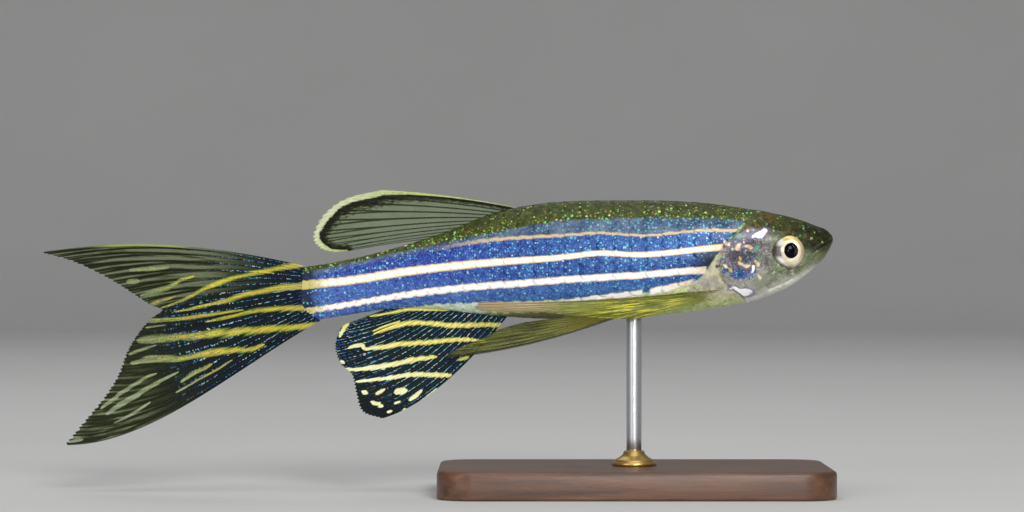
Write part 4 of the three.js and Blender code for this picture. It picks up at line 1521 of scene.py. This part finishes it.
def barbel_material():
    s = Shade("barbel_look", {"Roughness": 0.5, "Specular IOR Level": 0.2})
    tone = s.noise(s.millimetres(), 5.0, 3.0)
    s.feed({"Base Color": s.ramp(tone, [(0.3, (78, 84, 50)), (0.7, (124, 128, 92))])})
    s.bump(tone, 0.01)
    return s.material


BARBEL = barbel_material()


def tapered_tube(path, radii, columns=14):
    """Rings round a path: two directions at right angles to it carry a circle of each radius."""
    ahead = np.gradient(path, axis=0)
    ahead /= np.linalg.norm(ahead, axis=1, keepdims=True)
    side = np.cross(ahead, [0.0, 1.0, 0.0])
    side /= np.linalg.norm(side, axis=1, keepdims=True)
    other = np.cross(ahead, side)
    turn = np.linspace(0, 2 * np.pi, columns, endpoint=False)[None, :, None]
    ring = side[:, None] * np.cos(turn) + other[:, None] * np.sin(turn)
    return path[:, None] + ring * radii[:, None, None]


def make_barbel(word, side):
    """The radius shrinks evenly to 0.28 of itself, and closes in a round tip over the end."""
    t = np.linspace(0, 1, 40)
    back, up, out = fan(BARBEL_COURSE, t).T
    round_tip = np.sqrt(1 - np.clip((t - 0.93) / 0.08, 0, 1) ** 2)
    points = tapered_tube(place(back, up, side * out), BARBEL_RADIUS * (1 - 0.72 * t) * round_tip)
    faces, uvs = tube_faces(*points.shape[:2])
    name = f"barbel_feeler_{word}"
    return piece(name, tube(points), faces, uvs, BARBEL, [f"barbel_{word}"])


make_barbel("right", 1)
make_barbel("left", -1)

# %% [markdown]
# The stand is plain: a small board of dark oiled wood with eased edges, a steel rod, and a brass
# collar where the rod meets the board. Board, rod and collar are all one kind of surface: an
# outline carried along a profile.

# %% The stand's materials
def wood_material():
    """Growth rings and pores: two noises, drawn out along the board."""
    s = Shade("dark_wood_look", {"Coat Weight": 0.25, "Coat Roughness": 0.25})
    inputs = {"Vector": s.millimetres(), "Scale": (0.07, 0.9, 0.9)}
    stretched = s.node("ShaderNodeMapping", None, inputs)
    pores = s.noise(stretched, 14.0, 2.0, 0.7)
    tone = s.noise(stretched, 1.6, 5.0, 0.6) * 0.8 + pores * 0.25
    colour = s.ramp(tone, [(0.25, (44, 26, 16)), (0.5, (84, 52, 32)), (0.75, (118, 78, 48))])
    s.feed({"Base Color": colour, "Roughness": 0.34 + 0.25 * pores})
    s.bump(tone, 0.03)
    return s.material


def metal_material(name, tone, brushed):
    """Brushed metal: noise drawn out round the metal darkens its tone by up to a tenth."""
    s = Shade(name, {"Metallic": 1.0})
    inputs = {"Vector": s.millimetres(), "Scale": brushed}
    grain = s.noise(s.node("ShaderNodeMapping", None, inputs), 3.0, 1.0)
    s.feed({
        "Base Color": s.mix(0.1 - 0.1 * grain, tone, (0, 0, 0)),
        "Roughness": 0.3 + 0.1 * grain,
    })
    s.bump(grain, 0.0004)
    return s.material


WOOD = wood_material()
STEEL = metal_material("steel_rod_look", (202, 204, 208), (0.4, 0.4, 8.0))
BRASS = metal_material("brass_collar_look", (206, 170, 104), (0.6, 0.6, 10.0))

# %% The stand
BASE_LOW, BASE_HIGH = (np.array(corner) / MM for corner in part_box("stand_base"))
COLLAR_LOW, COLLAR_HIGH = (np.array(corner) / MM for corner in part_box("stand_collar"))
ROD_LOW, ROD_HIGH = (np.array(corner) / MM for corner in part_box("stand_rod"))
CORNER = 2.5
LOWER_EDGE, UPPER_EDGE = 0.2, 0.3


def rounded_outline(length, width, corner, per_corner=12):
    """A rectangle with round corners: quarter circles round four centres, joined up."""
    angle = np.linspace(0, np.pi / 2, per_corner)
    arcs = []
    for quarter, (x, y) in enumerate([(1, 1), (-1, 1), (-1, -1), (1, -1)]):
        turned = angle + quarter * np.pi / 2
        arc_x = x * (length / 2 - corner) + corner * np.cos(turned)
        arc_y = y * (width / 2 - corner) + corner * np.sin(turned)
        arcs.append(np.stack([arc_x, arc_y], axis=1))
    return np.concatenate(arcs)


def make_base():
    """The board: its outline drawn in by the profile of its eased edges, from below to above."""
    turn = np.linspace(0, np.pi / 2, 7)
    top = BASE_HIGH[2]
    lower_in, lower_up = LOWER_EDGE * (1 - np.sin(turn)), LOWER_EDGE * (1 - np.cos(turn))
    upper_in, upper_up = UPPER_EDGE * (1 - np.cos(turn)), top - UPPER_EDGE * (1 - np.sin(turn))
    profile = zip([1.4, 0.6, *lower_in, *upper_in, 0.8, 1.6], [0, 0, *lower_up, *upper_up, top, top])
    length, width, _ = BASE_HIGH - BASE_LOW
    rings = []
    for inset, height in profile:
        corner = max(CORNER - inset, 0.4)
        outline = rounded_outline(length - 2 * inset, width - 2 * inset, corner)
        rings.append(np.column_stack([outline, np.full(len(outline), height)]))
    points = np.array(rings)
    faces, uvs = tube_faces(*points.shape[:2])
    return piece("stand_base_board", tube(points), faces, uvs, WOOD, ["stand_base"])


def lathe(profile, columns=64):
    """A profile of (radius, height) pairs turned about the upright axis through the origin."""
    radius, height = np.array(profile, float).T[..., None]
    turn = np.linspace(0, 2 * np.pi, columns, endpoint=False)[None]
    return np.stack([radius * np.cos(turn), radius * np.sin(turn), height + 0 * turn], axis=-1)


def make_turned(name, profile, material, node):
    points = lathe(profile)
    faces, uvs = tube_faces(*points.shape[:2])
    return piece(name, tube(points), faces, uvs, material, [node])


rod = (ROD_HIGH[0] - ROD_LOW[0]) / 2
rod_top = ROD_HIGH[2]
rod_profile = [(rod, 2.02), (rod, 4.0), (rod, 8.0), (rod, 12.2), (rod * 0.98, rod_top + 0.1),
               (rod * 0.8, rod_top + 0.16)]
collar = COLLAR_HIGH[0]
collar_shares = [(1, COLLAR_LOW[2]), (1, 2.2), (0.97, 2.28), (0.9, 2.32), (0.9, 2.38), (0.84, 2.46),
                 (0.66, 2.62), (0.52, 2.8), (0.47, 3.0), (0.45, 3.06)]
collar_profile = [(collar * share, height) for share, height in collar_shares]
collar_profile.append((rod * 1.05, 3.09))
make_base()
make_turned("stand_rod_steel", rod_profile, STEEL, "stand_rod")
make_turned("stand_collar_brass", collar_profile, BRASS, "stand_collar")

# %% [markdown]
# The camera stands where the photographer's did: level with the fish, square to its side. Its
# distance and lens are worked out so that one picture width is the same stretch of fish.
# Around it is a plain pale studio: a round floor whose rim bends up into a wall.

# %% Camera
PICTURE_WIDTH = 73.28
LENS, SENSOR = 120.0, 36.0
DISTANCE = PICTURE_WIDTH * LENS / SENSOR
LOOK_AT = np.array([-8.73, 0.0, 17.0])
camera = bpy.data.objects.new("camera", bpy.data.cameras.new("camera"))
camera.data.lens = LENS
camera.data.sensor_width = SENSOR
camera.data.clip_start = 0.01
camera.location = (LOOK_AT - [0, DISTANCE, 0]) * MM
camera.rotation_euler = (np.pi / 2, 0, 0)
bpy.context.scene.collection.objects.link(camera)
bpy.context.scene.camera = camera
print("The camera stands", round(DISTANCE), "mm away")


# %% Floor and wall
def make_studio(floor=560.0, bend=240.0, wall=900.0):
    """A round floor, a quarter circle upwards at its rim, and a wall, so every view is pale."""
    turn = np.linspace(0, np.pi / 2, 24)
    radius = [0.01, *(floor + bend * np.sin(turn)), floor + bend]
    height = [0.0, *(bend * (1 - np.cos(turn))), wall]
    points = lathe(list(zip(radius, height)), 96)
    mesh = bpy.data.meshes.new("studio")
    quads, _, _ = grid_quads(*points.shape[:2], wrapped=True)
    mesh.from_pydata((points.reshape(-1, 3) * MM).tolist(), [], quads.tolist())
    mesh.polygons.foreach_set("use_smooth", np.ones(len(mesh.polygons), bool))
    s = Shade("studio_paper", {"Roughness": 0.9})
    clouds = s.noise(s.millimetres(), 0.02)
    s.feed({"Base Color": s.mix(clouds, (196, 196, 194), (204, 204, 202))})
    mesh.materials.append(s.material)
    made = bpy.data.objects.new("studio", mesh)
    bpy.context.scene.collection.objects.link(made)
    made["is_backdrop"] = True


make_studio()


# %% Lights
def lamp(name, spot, size, watts, spread=180):
    """
    A square softbox in mm that faces the fish, with its light held in a cone of so many degrees.
    The camera doesn't see the lamp itself.
    """
    data = bpy.data.lights.new(name, "AREA")
    data.size = size * MM
    data.energy = watts
    data.spread = np.radians(spread)
    made = bpy.data.objects.new(name, data)
    made.location = np.array(spot) * MM
    made.visible_camera = False
    made.rotation_euler = Vector(LOOK_AT - spot).to_track_quat("-Z", "Y").to_euler()
    bpy.context.scene.collection.objects.link(made)


lamp("key", (145, -480, 262), 176, 0.38, 90)
lamp("low", (30, -430, 40), 110, 0.052, 60)
lamp("fill", (-380, -440, 130), 300, 0.2, 90)
lamp("top", (0, -60, 300), 200, 0.22)
lamp("back_glow", (-60, 260, 320), 220, 0.16)
world = bpy.data.worlds.new("studio_air")
world.use_nodes = True
air = world.node_tree.nodes["Background"]
air.inputs["Color"].default_value = (0.96, 0.98, 1.0, 1.0)
air.inputs["Strength"].default_value = 0.54
bpy.context.scene.world = world
bpy.context.scene.view_settings.view_transform = "Standard"
print("Lamps:", ", ".join(light.name for light in bpy.data.lights))

# %% Sizes
SIZES = {"cad": [list(c) for c in CAD_BOX], "visual": [list(c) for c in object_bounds()]}
print("The finished model spans, in mm:",
      [round((b - a) / MM, 2) for a, b in zip(*SIZES["visual"])])
